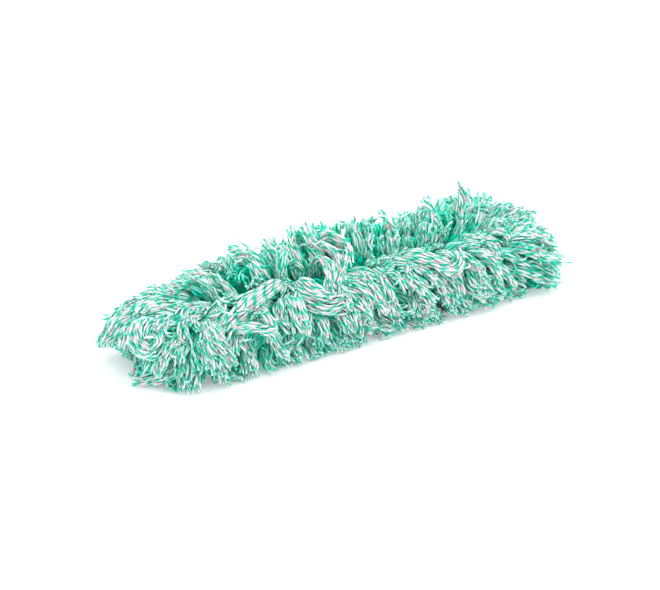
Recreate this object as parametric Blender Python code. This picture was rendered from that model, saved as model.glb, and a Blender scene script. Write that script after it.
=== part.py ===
"""Slip-on microfibre duster sleeve: a flat fabric pocket covered all round in sewn yarn tufts.

Frame, in metres: X runs along the sleeve from its open mouth (-X) to its round tip (+X), Y runs
across it and Z is up. The floor is z = 0, and the origin lies on it under the sleeve's middle.
The front side is -Y and the back side is +Y.
"""

import math
import random

import bmesh
import bpy
from mathutils import Vector

# Sleeve: a flat pocket of two panels
TUFTED_LENGTH = 0.400
MOUTH_BAND_LENGTH = 0.026
POCKET_HALF_WIDTH = 0.034
POCKET_HALF_HEIGHT = 0.008
PANEL_THICKNESS = 0.0012
FLANGE_WIDTH = 0.0055
FIT_GAP = 0.0003

# Tape folded over the panels' sewn edges
BINDING_THICKNESS = 0.0008
BINDING_INSET = 0.0006

# Mouth: an elastic under a hem, and the hem's two rows of stitching
ELASTIC_WIDTH = 0.010
ELASTIC_THICKNESS = 0.0010
HEM_WIDTH = 0.014
HEM_THICKNESS = 0.0008
HEM_INSET = 0.0015
THREAD_RADIUS = 0.00035
HEM_STITCH_INSET = 0.002

# Tape and zigzag stitching that hold the yarn down along the sleeve's middle line
TAPE_HALF_WIDTH = 0.0033
TAPE_THICKNESS = 0.0008
TAPE_END_INSET = 0.0015
STITCH_PITCH = 0.016
STITCH_HALF_WIDTH = 0.0018
STITCH_END_INSET = 0.004
STITCH_LIFT = 0.0003

# Pile: how far the yarn reaches from the pocket's middle line. It stands up high behind, and in
# front it falls over low and close to the pocket
POCKET_MID_HEIGHT = 0.044
PILE_RISE = 0.072
PILE_SIDE_REACH = 0.091
FRONT_PILE_RISE = 0.038
FRONT_SIDE_REACH = 0.077
PILE_TIP_REACH = 0.101
PILE_SAG = 0.058
UNDER_PARTING = 0.014
TUFT_GAP = 0.0008
LOCK_GAP = 0.0014

# Pile at the mouth: the yarn leans out over the hem
MOUTH_LEAN = 0.076
MOUTH_LEAN_SPAN = 0.160
MOUTH_ROUND_SPAN = 0.100
MOUTH_RISE_SHARE = 0.42
MOUTH_LEAN_POWER = 1.5
LEAN_BEND_POWER = 2.0
RISE_BEND_POWER = 0.8

# Sway: the locks lean to and fro along the sleeve, in a wave that shifts round the pocket
SWAY = 0.011
SWAY_WAVELENGTH = 0.125
SWAY_FADE = 0.060
SWAY_TURNS_ROUND = 2

# Angles round the pocket, in degrees from its edge (0) to its middle line (90): where each row of
# locks is rooted on the panel, and where it ends on the outside of the pile. The front and the
# back pile part above the middle line.
ROOT_ANGLES = (15.0, 35.0, 55.0, 72.0, 87.0)
FRONT_OUTER_ANGLES = (0.4, 22.0, 44.0, 65.0, 84.0)
BACK_OUTER_ANGLES = (0.4, 23.0, 45.0, 67.0, 88.5)
LOWER_OUTER_ANGLES = (0.4, 22.0, 49.0, 68.0)
POCKET_ROUNDNESS = 3.0
PILE_ROUNDNESS = 2.0
FRONT_ROUNDNESS = 2.5
SAG_ROUNDNESS = 2.4

# Which row edges bound the band of tufts next to the pocket's edge, and the one at its middle line
EDGE_BAND = slice(0, 3)
CREST_BAND = slice(2, None)

# Counts
TUFTS_ALONG = 5
LOCKS_ALONG = 4
UNDER_LOCKS_ALONG = 3
EDGE_TIP_TUFTS = 3
EDGE_TIP_LOCKS = 5
CREST_TIP_LOCKS = 9

# Shape of one lock of yarns, as shares of its own length and width
BASE_SHARE = 0.05
RING_SHARES = ((0.62, 0.90), (1.0, 0.32))
UNDER_RING_SHARES = ((0.62, 0.95), (1.0, 0.88))
GATHER_SHARE = 0.10
LENGTH_SPREAD_SHARE = 0.13
TUFT_SPREAD_SHARE = 0.05

# Places worked out from the sizes
TUFT_START = -TUFTED_LENGTH / 2
TIP_CENTRE = TUFTED_LENGTH / 2
MOUTH = TUFT_START - MOUTH_BAND_LENGTH
TIP_STEPS = EDGE_TIP_TUFTS * EDGE_TIP_LOCKS
FLANGE_TOP = PANEL_THICKNESS + FIT_GAP / 2
FLANGE_EDGE = POCKET_HALF_WIDTH + FLANGE_WIDTH

YARN_GREEN = (0.27, 0.60, 0.50)
CANVAS_GREEN = (0.02, 0.30, 0.21)
TAPE_WHITE = (0.80, 0.84, 0.82)
ELASTIC_WHITE = (0.72, 0.74, 0.72)
THREAD_GREEN = (0.03, 0.45, 0.30)


def clear_scene():
    """Removes what the file starts with."""
    for obj in list(bpy.data.objects):
        bpy.data.objects.remove(obj)


def make_material(name, colour, roughness):
    """A plain cloth finish."""
    material = bpy.data.materials.new(name)
    material.use_nodes = True
    shader = material.node_tree.nodes["Principled BSDF"]
    shader.inputs["Base Color"].default_value = (*colour, 1.0)
    shader.inputs["Roughness"].default_value = roughness
    shader.inputs["Metallic"].default_value = 0.0
    return material


def add_object(name, shape, material):
    """Turns a finished bmesh into a named object with outward faces."""
    bmesh.ops.recalc_face_normals(shape, faces=shape.faces)
    if shape.calc_volume(signed=True) < 0:
        bmesh.ops.reverse_faces(shape, faces=shape.faces)
    mesh = bpy.data.meshes.new(name)
    shape.to_mesh(mesh)
    shape.free()
    mesh.materials.append(material)
    obj = bpy.data.objects.new(name, mesh)
    bpy.context.collection.objects.link(obj)
    return obj


def on_outline(half_width, half_height, degrees, roundness):
    """A point (across, up) on a rounded rectangle, from its edge at 0 to its top at 90 degrees."""
    angle = math.radians(degrees)
    across = half_width * math.cos(angle) ** (2 / roundness)
    up = half_height * math.sin(angle) ** (2 / roundness)
    return Vector((across, up))


def pocket_point(degrees, offset=0.0):
    """A point on the outside of the pocket, moved outwards by offset."""
    return on_outline(
        POCKET_HALF_WIDTH + offset, POCKET_HALF_HEIGHT + offset, degrees, POCKET_ROUNDNESS
    )


def panel_outline():
    """Half of a panel's outside, from the edge of its flange to its middle line."""
    low, high = pocket_point(0.0), pocket_point(ROOT_ANGLES[0])
    rim = low.lerp(high, FLANGE_TOP / high.y)
    points = [Vector((FLANGE_EDGE, FLANGE_TOP)), rim]
    points += [pocket_point(degrees) for degrees in (*ROOT_ANGLES, 90.0)]
    return points


def build_panel(name, side, material):
    """One panel: a shallow trough with a flange, round at the tip. side is 1 above and -1 below."""
    half = panel_outline()
    shape = bmesh.new()
    rows = []
    for x in (MOUTH, TUFT_START, TIP_CENTRE):
        front = [shape.verts.new((x, -p.x, side * p.y)) for p in half]
        back = [shape.verts.new((x, p.x, side * p.y)) for p in reversed(half[:-1])]
        rows.append(front + back)
    for near, far in zip(rows, rows[1:]):
        for i in range(len(near) - 1):
            flange = i in (0, len(near) - 2)
            if near is rows[0] and flange:
                continue
            shape.faces.new((near[i], near[i + 1], far[i + 1], far[i]))
    tip_edges = [
        shape.edges.get((rows[-1][i], rows[-1][i + 1])) for i in range(len(half) - 1)
    ]
    bmesh.ops.spin(
        shape,
        geom=tip_edges,
        cent=(TIP_CENTRE, 0.0, 0.0),
        axis=(0.0, 0.0, 1.0),
        angle=math.pi,
        steps=TIP_STEPS,
    )
    loose = [v for v in shape.verts if not v.link_faces]
    bmesh.ops.delete(shape, geom=loose, context="VERTS")
    bmesh.ops.remove_doubles(shape, verts=shape.verts, dist=FIT_GAP / 3)
    bmesh.ops.recalc_face_normals(shape, faces=shape.faces)
    shape.faces.ensure_lookup_table()
    highest = max(shape.faces, key=lambda f: side * f.calc_center_median().z)
    if highest.normal.z * side < 0:
        bmesh.ops.reverse_faces(shape, faces=shape.faces)
    mesh = bpy.data.meshes.new(name)
    shape.to_mesh(mesh)
    shape.free()
    mesh.materials.append(material)
    panel = bpy.data.objects.new(name, mesh)
    bpy.context.collection.objects.link(panel)
    wall = panel.modifiers.new("cloth thickness", "SOLIDIFY")
    wall.thickness = PANEL_THICKNESS
    wall.offset = -1.0
    wall.use_even_offset = True
    panel.location.z = POCKET_MID_HEIGHT
    return panel


def binding_section():
    """The folded tape's outline (across, up), open towards the pocket."""
    inner_up = FLANGE_TOP + FIT_GAP
    outer_up = inner_up + BINDING_THICKNESS
    inner_edge = FLANGE_EDGE + FIT_GAP
    outer_edge = inner_edge + BINDING_THICKNESS
    leg_end = POCKET_HALF_WIDTH + BINDING_INSET
    return [
        (leg_end, inner_up),
        (leg_end, outer_up),
        (outer_edge, outer_up),
        (outer_edge, -outer_up),
        (leg_end, -outer_up),
        (leg_end, -inner_up),
        (inner_edge, -inner_up),
        (inner_edge, inner_up),
    ]


def build_straight_binding(name, side, material):
    """Binding tape along one straight edge. side is -1 at the front and 1 at the back."""
    shape = bmesh.new()
    corners = [shape.verts.new((TUFT_START, side * a, u)) for a, u in binding_section()]
    end = shape.faces.new(corners)
    made = bmesh.ops.extrude_face_region(shape, geom=[end])
    moved = [v for v in made["geom"] if isinstance(v, bmesh.types.BMVert)]
    run = TUFTED_LENGTH - FIT_GAP
    bmesh.ops.translate(shape, verts=moved, vec=(run, 0.0, 0.0))
    binding = add_object(name, shape, material)
    binding.location.z = POCKET_MID_HEIGHT
    return binding


def build_tip_binding(name, material):
    """Binding tape round the tip, turned about the tip's centre."""
    shape = bmesh.new()
    corners = [shape.verts.new((TIP_CENTRE, -a, u)) for a, u in binding_section()]
    end = shape.faces.new(corners)
    bmesh.ops.spin(
        shape,
        geom=[end],
        cent=(TIP_CENTRE, 0.0, 0.0),
        axis=(0.0, 0.0, 1.0),
        angle=math.pi,
        steps=TIP_STEPS,
    )
    binding = add_object(name, shape, material)
    binding.location.z = POCKET_MID_HEIGHT
    return binding


def loop_round_pocket(offset):
    """A closed outline (across, up) round the pocket's mouth, offset outwards from the panels."""
    quarter = [pocket_point(degrees, offset) for degrees in (0.0, *ROOT_ANGLES)]
    upper = [(p.x, p.y) for p in quarter] + [(-p.x, p.y) for p in reversed(quarter)]
    lower = [(-p.x, -p.y) for p in quarter[1:]] + [(p.x, -p.y) for p in reversed(quarter[1:])]
    return upper + lower


def build_mouth_band(name, middle, width, offset, thickness, material):
    """A flat band round the mouth, such as the elastic or the hem over it."""
    shape = bmesh.new()
    loop = loop_round_pocket(offset)
    rings = []
    for x in (middle - width / 2, middle + width / 2):
        rings.append([shape.verts.new((x, across, up)) for across, up in loop])
    for i in range(len(loop)):
        j = (i + 1) % len(loop)
        shape.faces.new((rings[0][i], rings[0][j], rings[1][j], rings[1][i]))
    band = add_object(name, shape, material)
    wall = band.modifiers.new("band thickness", "SOLIDIFY")
    wall.thickness = thickness
    wall.offset = 1.0
    wall.use_even_offset = True
    band.location.z = POCKET_MID_HEIGHT
    return band


def add_thread(name, points, closed, material):
    """A round thread through these points."""
    line = bpy.data.curves.new(name, "CURVE")
    line.dimensions = "3D"
    line.bevel_depth = THREAD_RADIUS
    line.bevel_resolution = 0
    line.use_fill_caps = not closed
    spline = line.splines.new("POLY")
    spline.points.add(len(points) - 1)
    for target, place in zip(spline.points, points):
        target.co = (*place, 1.0)
    spline.use_cyclic_u = closed
    line.materials.append(material)
    thread = bpy.data.objects.new(name, line)
    bpy.context.collection.objects.link(thread)
    thread.location.z = POCKET_MID_HEIGHT
    return thread


def build_mouth(materials):
    """Elastic, hem and the hem's two rows of stitching."""
    middle = MOUTH + HEM_INSET + HEM_WIDTH / 2
    elastic_offset = FIT_GAP
    hem_offset = elastic_offset + ELASTIC_THICKNESS + FIT_GAP
    build_mouth_band(
        "mouth_elastic", middle, ELASTIC_WIDTH, elastic_offset, ELASTIC_THICKNESS,
        materials["elastic"],
    )
    build_mouth_band(
        "mouth_hem", middle, HEM_WIDTH, hem_offset, HEM_THICKNESS, materials["tape"]
    )
    thread_offset = hem_offset + HEM_THICKNESS + THREAD_RADIUS + FIT_GAP
    loop = loop_round_pocket(thread_offset)
    for name, way in (("hem_thread_outer", -1), ("hem_thread_inner", 1)):
        x = middle + way * (HEM_WIDTH / 2 - HEM_STITCH_INSET)
        add_thread(name, [(x, a, u) for a, u in loop], True, materials["thread"])


class Row:
    """One edge between two rows of locks: where it is rooted and where it ends, as (y, z) places."""

    def __init__(self, root, outer):
        self.root = root
        self.outer = outer

    def mirrored(self):
        return Row(
            Vector((-self.root.x, self.root.y)), Vector((-self.outer.x, self.outer.y))
        )


def upper_rows(side_reach, rise, outer_angles, roundness):
    """Row edges above the pocket, from its edge to its middle line."""
    rows = []
    for root_angle, outer_angle in zip(ROOT_ANGLES, outer_angles):
        root = pocket_point(root_angle, FIT_GAP)
        rows.append(Row(root, on_outline(side_reach, rise, outer_angle, roundness)))
    return rows


def front_upper_rows():
    """Row edges above the pocket at the front, measured out from its middle line."""
    return upper_rows(FRONT_SIDE_REACH, FRONT_PILE_RISE, FRONT_OUTER_ANGLES, FRONT_ROUNDNESS)


def back_upper_rows():
    """Row edges above the pocket at the back."""
    return upper_rows(PILE_SIDE_REACH, PILE_RISE, BACK_OUTER_ANGLES, PILE_ROUNDNESS)


def lower_rows(side_reach):
    """Row edges below the pocket. The pile lies flat on the floor under it."""
    rows = []
    for root_angle, outer_angle in zip(ROOT_ANGLES, LOWER_OUTER_ANGLES):
        root = pocket_point(root_angle, FIT_GAP)
        outer = on_outline(side_reach, PILE_SAG, outer_angle, SAG_ROUNDNESS)
        depth = min(outer.y, POCKET_MID_HEIGHT)
        rows.append(Row(Vector((root.x, -root.y)), Vector((outer.x, -depth))))
    return rows


def mirrored(rows):
    """The same row edges on the front side."""
    return [row.mirrored() for row in rows]


def middle_under_row(parting):
    """The row edge next to the middle line below, whose yarn ends on the floor at parting."""
    root = pocket_point(ROOT_ANGLES[-1], FIT_GAP)
    return Row(Vector((root.x, -root.y)), Vector((parting, -POCKET_MID_HEIGHT)))


def under_rows():
    """Row edges right across the underside. The yarn parts a little behind the middle line."""
    front_lower = lower_rows(FRONT_SIDE_REACH)[CREST_BAND]
    back_lower = lower_rows(PILE_SIDE_REACH)[CREST_BAND]
    front = middle_under_row(-UNDER_PARTING).mirrored()
    back = middle_under_row(UNDER_PARTING)
    return [*mirrored(front_lower), front, back, *reversed(back_lower)]


def mouth_nearness(x, span):
    """1 at the mouth's first tuft, falling to 0 at span from it."""
    return max(0.0, min(1.0, 1.0 - (x - TUFT_START) / span))


def lean_at(x):
    """How far the ends of the yarn lean towards the mouth."""
    return -MOUTH_LEAN * mouth_nearness(x, MOUTH_LEAN_SPAN) ** MOUTH_LEAN_POWER


def sway_at(x, row):
    """How far the ends of the yarn sway along the sleeve. It fades out towards the tip."""
    fade = min(1.0, (TIP_CENTRE - x) / SWAY_FADE)
    round_pocket = math.atan2(row.outer.y, row.outer.x)
    turn = 2 * math.pi * x / SWAY_WAVELENGTH + SWAY_TURNS_ROUND * round_pocket
    return SWAY * fade * math.sin(turn)


def rise_share_at(x, reaches_floor):
    """How much of its full reach the pile has there. It is rounded off towards the mouth."""
    if reaches_floor:
        return 1.0
    nearness = mouth_nearness(x, MOUTH_ROUND_SPAN)
    return 1.0 - (1.0 - MOUTH_RISE_SHARE) * nearness * nearness


def between(one, other, part):
    """The row edge between two row edges."""
    return Row(one.root.lerp(other.root, part), one.outer.lerp(other.outer, part))


def row_at(rows, position):
    """The row edge at a position between rows, which may be fractional."""
    index = min(max(int(position), 0), len(rows) - 2)
    return between(rows[index], rows[index + 1], position - index)


class StraightRun:
    """Places tufts along the straight part of the sleeve. Its along coordinate is x."""

    def __init__(self, rows, reaches_floor=False):
        self.rows = rows
        self.reaches_floor = reaches_floor

    def gap(self, length):
        """A gap along the sleeve, in this run's own coordinate."""
        return length

    def place(self, along, position, share):
        row = row_at(self.rows, position)
        root = Vector((along, row.root.x, row.root.y))
        reach = (row.outer - row.root) * rise_share_at(along, self.reaches_floor)
        reach *= share**RISE_BEND_POWER
        lean = (lean_at(along) + sway_at(along, row)) * share**LEAN_BEND_POWER
        return root + Vector((lean, reach.x, reach.y))


class TipRun:
    """Places tufts round the tip. Its along coordinate is the turn from the front, in radians."""

    def __init__(self, rows, back_rows):
        self.rows = rows
        self.back_rows = back_rows

    def gap(self, length):
        """A gap round the tip, in this run's own coordinate, measured at the rows' middle."""
        return length / self.rows[len(self.rows) // 2].root.x

    def place(self, along, position, share):
        ahead, aside = math.sin(along), -math.cos(along)
        front, back = row_at(self.rows, position), row_at(self.back_rows, position)
        row = between(front, back, (1.0 + aside) / 2)
        stretch = PILE_TIP_REACH * 2 / (FRONT_SIDE_REACH + PILE_SIDE_REACH)
        bent = share**RISE_BEND_POWER
        across = row.root.x + (row.outer.x - row.root.x) * bent
        onward = row.root.x + (row.outer.x * stretch - row.root.x) * bent
        up = row.root.y + (row.outer.y - row.root.y) * bent
        return Vector((TIP_CENTRE + onward * ahead, across * aside, up))


class Locks:
    """How one kind of tuft is cut: its count of locks, its lock's rings and its bare row."""

    def __init__(self, along, rings=RING_SHARES, ragged=True, bare_row=None):
        self.along = along
        self.rings = rings
        self.ragged = ragged
        self.bare_row = bare_row


def tuft_base(shape, run, start, end, locks):
    """The sewn base in flat coordinates. Returns the top face of each lock's cell."""
    rows = run.rows
    columns = len(rows) - 1
    edge_gap = run.gap(TUFT_GAP) / 2
    low, high = start + edge_gap, end - edge_gap
    first_gap = TUFT_GAP / 2 / (rows[1].root - rows[0].root).length
    last_gap = TUFT_GAP / 2 / (rows[-1].root - rows[-2].root).length
    grid = []
    for i in range(locks.along + 1):
        along = low + (high - low) * i / locks.along
        places = [min(max(j, first_gap), columns - last_gap) for j in range(columns + 1)]
        grid.append([shape.verts.new((along, place, BASE_SHARE)) for place in places])
    cells = {}
    for i in range(locks.along):
        for j in range(columns):
            corners = (grid[i][j], grid[i + 1][j], grid[i + 1][j + 1], grid[i][j + 1])
            cells[i, j] = shape.faces.new(corners)
    under = bmesh.ops.extrude_face_region(
        shape, geom=list(cells.values()), use_keep_orig=True
    )
    sunk = [v for v in under["geom"] if isinstance(v, bmesh.types.BMVert)]
    bmesh.ops.translate(shape, verts=sunk, vec=(0.0, 0.0, -BASE_SHARE))
    return cells


def raise_lock(shape, face, slit_shares, rings, length):
    """Draws one lock up out of its cell, in flat coordinates, ring by ring."""
    bmesh.ops.inset_individual(shape, faces=[face], thickness=0.0)
    corners = [v.co.copy() for v in face.verts]
    middle = face.calc_center_median()
    for rise, taper in ((0.0, 1.0), *rings):
        if rise > 0.0:
            face = bmesh.ops.extrude_discrete_faces(shape, faces=[face])["faces"][0]
        for corner, vert in zip(corners, face.verts):
            away = (corner - middle) * taper
            vert.co.x = middle.x + away.x * slit_shares.x
            vert.co.y = middle.y + away.y * slit_shares.y
            vert.co.z = BASE_SHARE + (length - BASE_SHARE) * rise


def build_tuft(name, run, start, end, locks, material):
    """One tuft: a sewn base and a grid of tapering locks of yarn.

    It is modelled flat first, in the coordinates (along the sleeve, row of locks, share of the
    yarn's length), and then each point is placed on the pocket by run.place.
    """
    chance = random.Random(name)
    shape = bmesh.new()
    rows = run.rows
    cells = tuft_base(shape, run, start, end, locks)
    tuft_length = 1.0 - TUFT_SPREAD_SHARE * chance.random() if locks.ragged else 1.0
    lock_width = (end - start) / locks.along
    for (i, j), face in cells.items():
        if j == locks.bare_row:
            continue
        length = tuft_length
        if locks.ragged:
            length *= 1.0 - LENGTH_SPREAD_SHARE * chance.random()
        row_width = (rows[j + 1].root - rows[j].root).length
        slits = Vector((1.0 - run.gap(LOCK_GAP) / lock_width, 1.0 - LOCK_GAP / row_width))
        raise_lock(shape, face, slits, locks.rings, length)
    centre_along, centre_row = (start + end) / 2, (len(rows) - 1) / 2
    for vert in shape.verts:
        along, row, share = vert.co
        drawn = GATHER_SHARE * share
        along += (centre_along - along) * drawn
        row += (centre_row - row) * drawn
        vert.co = run.place(along, row, share)
    tuft = add_object(name, shape, material)
    tuft.location.z = POCKET_MID_HEIGHT
    return tuft


def build_straight_tufts(material):
    """The bands of tufts along the straight part, from the mouth to the tip."""
    step = TUFTED_LENGTH / TUFTS_ALONG
    front, back = front_upper_rows(), back_upper_rows()
    front_lower, back_lower = lower_rows(FRONT_SIDE_REACH), lower_rows(PILE_SIDE_REACH)
    under = under_rows()
    locks = Locks(LOCKS_ALONG)
    under_locks = Locks(UNDER_LOCKS_ALONG, UNDER_RING_SHARES, False, (len(under) - 1) // 2)
    bands = (
        ("front_crest", StraightRun(mirrored(front[CREST_BAND])), locks),
        ("back_crest", StraightRun(back[CREST_BAND]), locks),
        ("front_shoulder", StraightRun(mirrored(front[EDGE_BAND])), locks),
        ("back_shoulder", StraightRun(back[EDGE_BAND]), locks),
        ("front_skirt", StraightRun(mirrored(front_lower[EDGE_BAND])), locks),
        ("back_skirt", StraightRun(back_lower[EDGE_BAND]), locks),
        ("under", StraightRun(under, reaches_floor=True), under_locks),
    )
    for band, run, cut in bands:
        for i in range(TUFTS_ALONG):
            start = TUFT_START + step * i
            build_tuft(f"{band}_tuft_{i + 1}", run, start, start + step, cut, material)


def build_tip_tufts(material):
    """The fan of tufts round the tip."""
    front, back = front_upper_rows(), back_upper_rows()
    front_lower, back_lower = lower_rows(FRONT_SIDE_REACH), lower_rows(PILE_SIDE_REACH)
    shoulder = TipRun(front[EDGE_BAND], back[EDGE_BAND])
    skirt = TipRun(front_lower[EDGE_BAND], back_lower[EDGE_BAND])
    locks = Locks(EDGE_TIP_LOCKS)
    step = math.pi / EDGE_TIP_TUFTS
    for i in range(EDGE_TIP_TUFTS):
        start, end = step * i, step * (i + 1)
        build_tuft(f"tip_shoulder_tuft_{i + 1}", shoulder, start, end, locks, material)
        build_tuft(f"tip_skirt_tuft_{i + 1}", skirt, start, end, locks, material)
    above = TipRun(front[CREST_BAND], back[CREST_BAND])
    build_tuft("tip_crest_tuft", above, 0.0, math.pi, Locks(CREST_TIP_LOCKS), material)
    middle = middle_under_row(back[-1].outer.x)
    under = TipRun([*front_lower[CREST_BAND], middle], [*back_lower[CREST_BAND], middle])
    cut = Locks(CREST_TIP_LOCKS, UNDER_RING_SHARES, False)
    build_tuft("tip_under_tuft", under, 0.0, math.pi, cut, material)


def crest_seam(x):
    """The height that the upper middle tape is sewn on: the panel's own."""
    return POCKET_HALF_HEIGHT


def under_seam(x):
    """The height that the lower middle tape is sewn on: the yarn's sewn base."""
    run = StraightRun(under_rows(), reaches_floor=True)
    return run.place(x, (len(run.rows) - 1) / 2, BASE_SHARE).z


def build_middle_tape(name, seam, side, material):
    """The tape that holds the yarn down along the middle line. side is 1 above and -1 below."""
    shape = bmesh.new()
    low, high = TUFT_START + TAPE_END_INSET, TIP_CENTRE - TAPE_END_INSET
    strip = []
    for i in range(TUFTS_ALONG + 1):
        along = low + (high - low) * i / TUFTS_ALONG
        height = seam(along) + side * FIT_GAP
        for across in (-TAPE_HALF_WIDTH, TAPE_HALF_WIDTH):
            strip.append(shape.verts.new((along, across, height)))
    for near in range(0, len(strip) - 2, 2):
        shape.faces.new((strip[near], strip[near + 1], strip[near + 3], strip[near + 2]))
    raised = bmesh.ops.extrude_face_region(shape, geom=list(shape.faces), use_keep_orig=True)
    moved = [v for v in raised["geom"] if isinstance(v, bmesh.types.BMVert)]
    bmesh.ops.translate(shape, verts=moved, vec=(0.0, 0.0, side * TAPE_THICKNESS))
    tape = add_object(name, shape, material)
    tape.location.z = POCKET_MID_HEIGHT


def build_middle_stitching(name, seam, side, material):
    """The zigzag thread along a middle tape."""
    lift = FIT_GAP + TAPE_THICKNESS + STITCH_LIFT + THREAD_RADIUS
    low, high = TUFT_START + STITCH_END_INSET, TIP_CENTRE - STITCH_END_INSET
    count = round((high - low) / (STITCH_PITCH / 2))
    points = []
    for i in range(count + 1):
        along = low + (high - low) * i / count
        across = STITCH_HALF_WIDTH if i % 2 else -STITCH_HALF_WIDTH
        points.append((along, across, seam(along) + side * lift))
    add_thread(name, points, False, material)


def main():
    clear_scene()
    materials = {
        "yarn": make_material("twisted microfibre yarn", YARN_GREEN, 0.9),
        "canvas": make_material("polyester canvas", CANVAS_GREEN, 0.85),
        "tape": make_material("cotton tape", TAPE_WHITE, 0.8),
        "elastic": make_material("woven elastic", ELASTIC_WHITE, 0.7),
        "thread": make_material("sewing thread", THREAD_GREEN, 0.6),
    }
    build_panel("upper_panel", 1, materials["canvas"])
    build_panel("lower_panel", -1, materials["canvas"])
    build_straight_binding("front_binding", -1, materials["tape"])
    build_straight_binding("back_binding", 1, materials["tape"])
    build_tip_binding("tip_binding", materials["tape"])
    build_mouth(materials)
    for place, seam, side in (("crest", crest_seam, 1), ("under", under_seam, -1)):
        build_middle_tape(f"{place}_tape", seam, side, materials["tape"])
        build_middle_stitching(f"{place}_stitching", seam, side, materials["thread"])
    build_straight_tufts(materials["yarn"])
    build_tip_tufts(materials["yarn"])


main()
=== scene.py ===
"""The looks of a slip-on microfibre duster sleeve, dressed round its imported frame.

Everything is in metres, in the frame's own axes: X runs from the open mouth (-X) to the round tip
(+X), the front side is -Y, Z is up and the floor is z = 0. The pile is made of separate twisted
yarns, sewn to the pocket in locks. Each lock follows one guide curve, and its yarns run beside it.
"""

import logging
import math
from dataclasses import dataclass, field
from enum import Enum

import bpy
import numpy as np
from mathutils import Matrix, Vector


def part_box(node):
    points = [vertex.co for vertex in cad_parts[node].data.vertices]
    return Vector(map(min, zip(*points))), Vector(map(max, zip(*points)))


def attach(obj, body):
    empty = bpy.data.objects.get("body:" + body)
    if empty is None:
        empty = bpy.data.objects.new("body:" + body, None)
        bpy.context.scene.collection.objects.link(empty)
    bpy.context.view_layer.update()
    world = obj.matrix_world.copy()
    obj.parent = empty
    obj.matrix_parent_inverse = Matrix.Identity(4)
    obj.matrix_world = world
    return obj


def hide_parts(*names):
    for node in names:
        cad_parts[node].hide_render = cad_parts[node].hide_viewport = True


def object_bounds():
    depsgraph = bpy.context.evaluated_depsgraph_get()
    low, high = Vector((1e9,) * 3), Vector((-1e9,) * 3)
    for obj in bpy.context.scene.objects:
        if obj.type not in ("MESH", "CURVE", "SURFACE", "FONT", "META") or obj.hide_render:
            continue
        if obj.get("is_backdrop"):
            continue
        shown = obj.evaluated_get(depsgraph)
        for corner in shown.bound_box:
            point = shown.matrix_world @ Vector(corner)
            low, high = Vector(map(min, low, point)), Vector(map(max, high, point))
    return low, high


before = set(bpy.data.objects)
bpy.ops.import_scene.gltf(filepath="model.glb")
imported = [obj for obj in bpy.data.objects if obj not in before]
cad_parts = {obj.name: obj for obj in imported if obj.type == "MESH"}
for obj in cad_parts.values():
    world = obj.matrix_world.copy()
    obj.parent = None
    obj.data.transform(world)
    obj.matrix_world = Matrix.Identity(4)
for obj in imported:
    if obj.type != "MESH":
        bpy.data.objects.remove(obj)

MM = 0.001
BODY = "root"
UV_NAME = "OFBake"
MATH = "ShaderNodeMath"
GOLDEN_ANGLE = 2.399963
# the wave texture turns by this many radians a metre at a scale of 1
WAVE_RATE = 20.0
log = logging.getLogger("duster")


class Side(Enum):
    """Which side of the sleeve a lock of yarn falls to, as its share of the back."""

    FRONT = 0.0
    BACK = 1.0


def linear(hex_colour: str) -> tuple[float, float, float, float]:
    """Turns an sRGB hex colour into the linear colour that a shader takes.

    Args:
        hex_colour: six hex digits, such as "00be8c".

    Returns:
        Linear red, green, blue and an alpha of 1.
    """
    parts = [int(hex_colour[i : i + 2], 16) / 255 for i in (0, 2, 4)]
    curve = [c / 12.92 if c <= 0.04045 else ((c + 0.055) / 1.055) ** 2.4 for c in parts]
    return (*curve, 1.0)


def set_inputs(node: bpy.types.Node, inputs: dict) -> None:
    """Sets a node's inputs to values or links them.

    Args:
        node: the node.
        inputs: input socket to the value set on it, or to what is linked to it: an output
            socket, or a node for its first output.
    """
    for socket, source in inputs.items():
        if isinstance(source, bpy.types.Node):
            source = source.outputs[0]
        if isinstance(source, bpy.types.NodeSocket):
            node.id_data.links.new(source, node.inputs[socket])
        else:
            node.inputs[socket].default_value = source


def add_node(
    tree: bpy.types.NodeTree, kind: str, inputs: dict | None = None, **settings: object
) -> bpy.types.Node:
    """Adds one shader node with its settings and links.

    Args:
        tree: the node tree it goes into.
        kind: the node's type name.
        inputs: what set_inputs takes.
        settings: attributes of the node.

    Returns:
        The new node.
    """
    node = tree.nodes.new(kind)
    for name, value in settings.items():
        setattr(node, name, value)
    set_inputs(node, inputs or {})
    return node


def new_material(name: str) -> tuple[bpy.types.Material, bpy.types.Node]:
    """Starts a material.

    Args:
        name: what the real material is.

    Returns:
        The material and its Principled shader.
    """
    material = bpy.data.materials.new(name)
    material.use_nodes = True
    return material, material.node_tree.nodes["Principled BSDF"]


def smooth_step(values: np.ndarray, low: float, high: float) -> np.ndarray:
    """Rises smoothly from 0 at low to 1 at high.

    Args:
        values: where to read it.
        low: where the rise starts.
        high: where it ends.

    Returns:
        The rise at each value.
    """
    part = np.clip((values - low) / (high - low), 0.0, 1.0)
    return part * part * (3.0 - 2.0 * part)


def unit(vectors: np.ndarray) -> np.ndarray:
    """Scales vectors to length 1.

    Args:
        vectors: any array whose last axis is x, y, z.

    Returns:
        The same directions, each of length 1.
    """
    return vectors / np.maximum(np.linalg.norm(vectors, axis=-1, keepdims=True), 1e-9)


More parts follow.
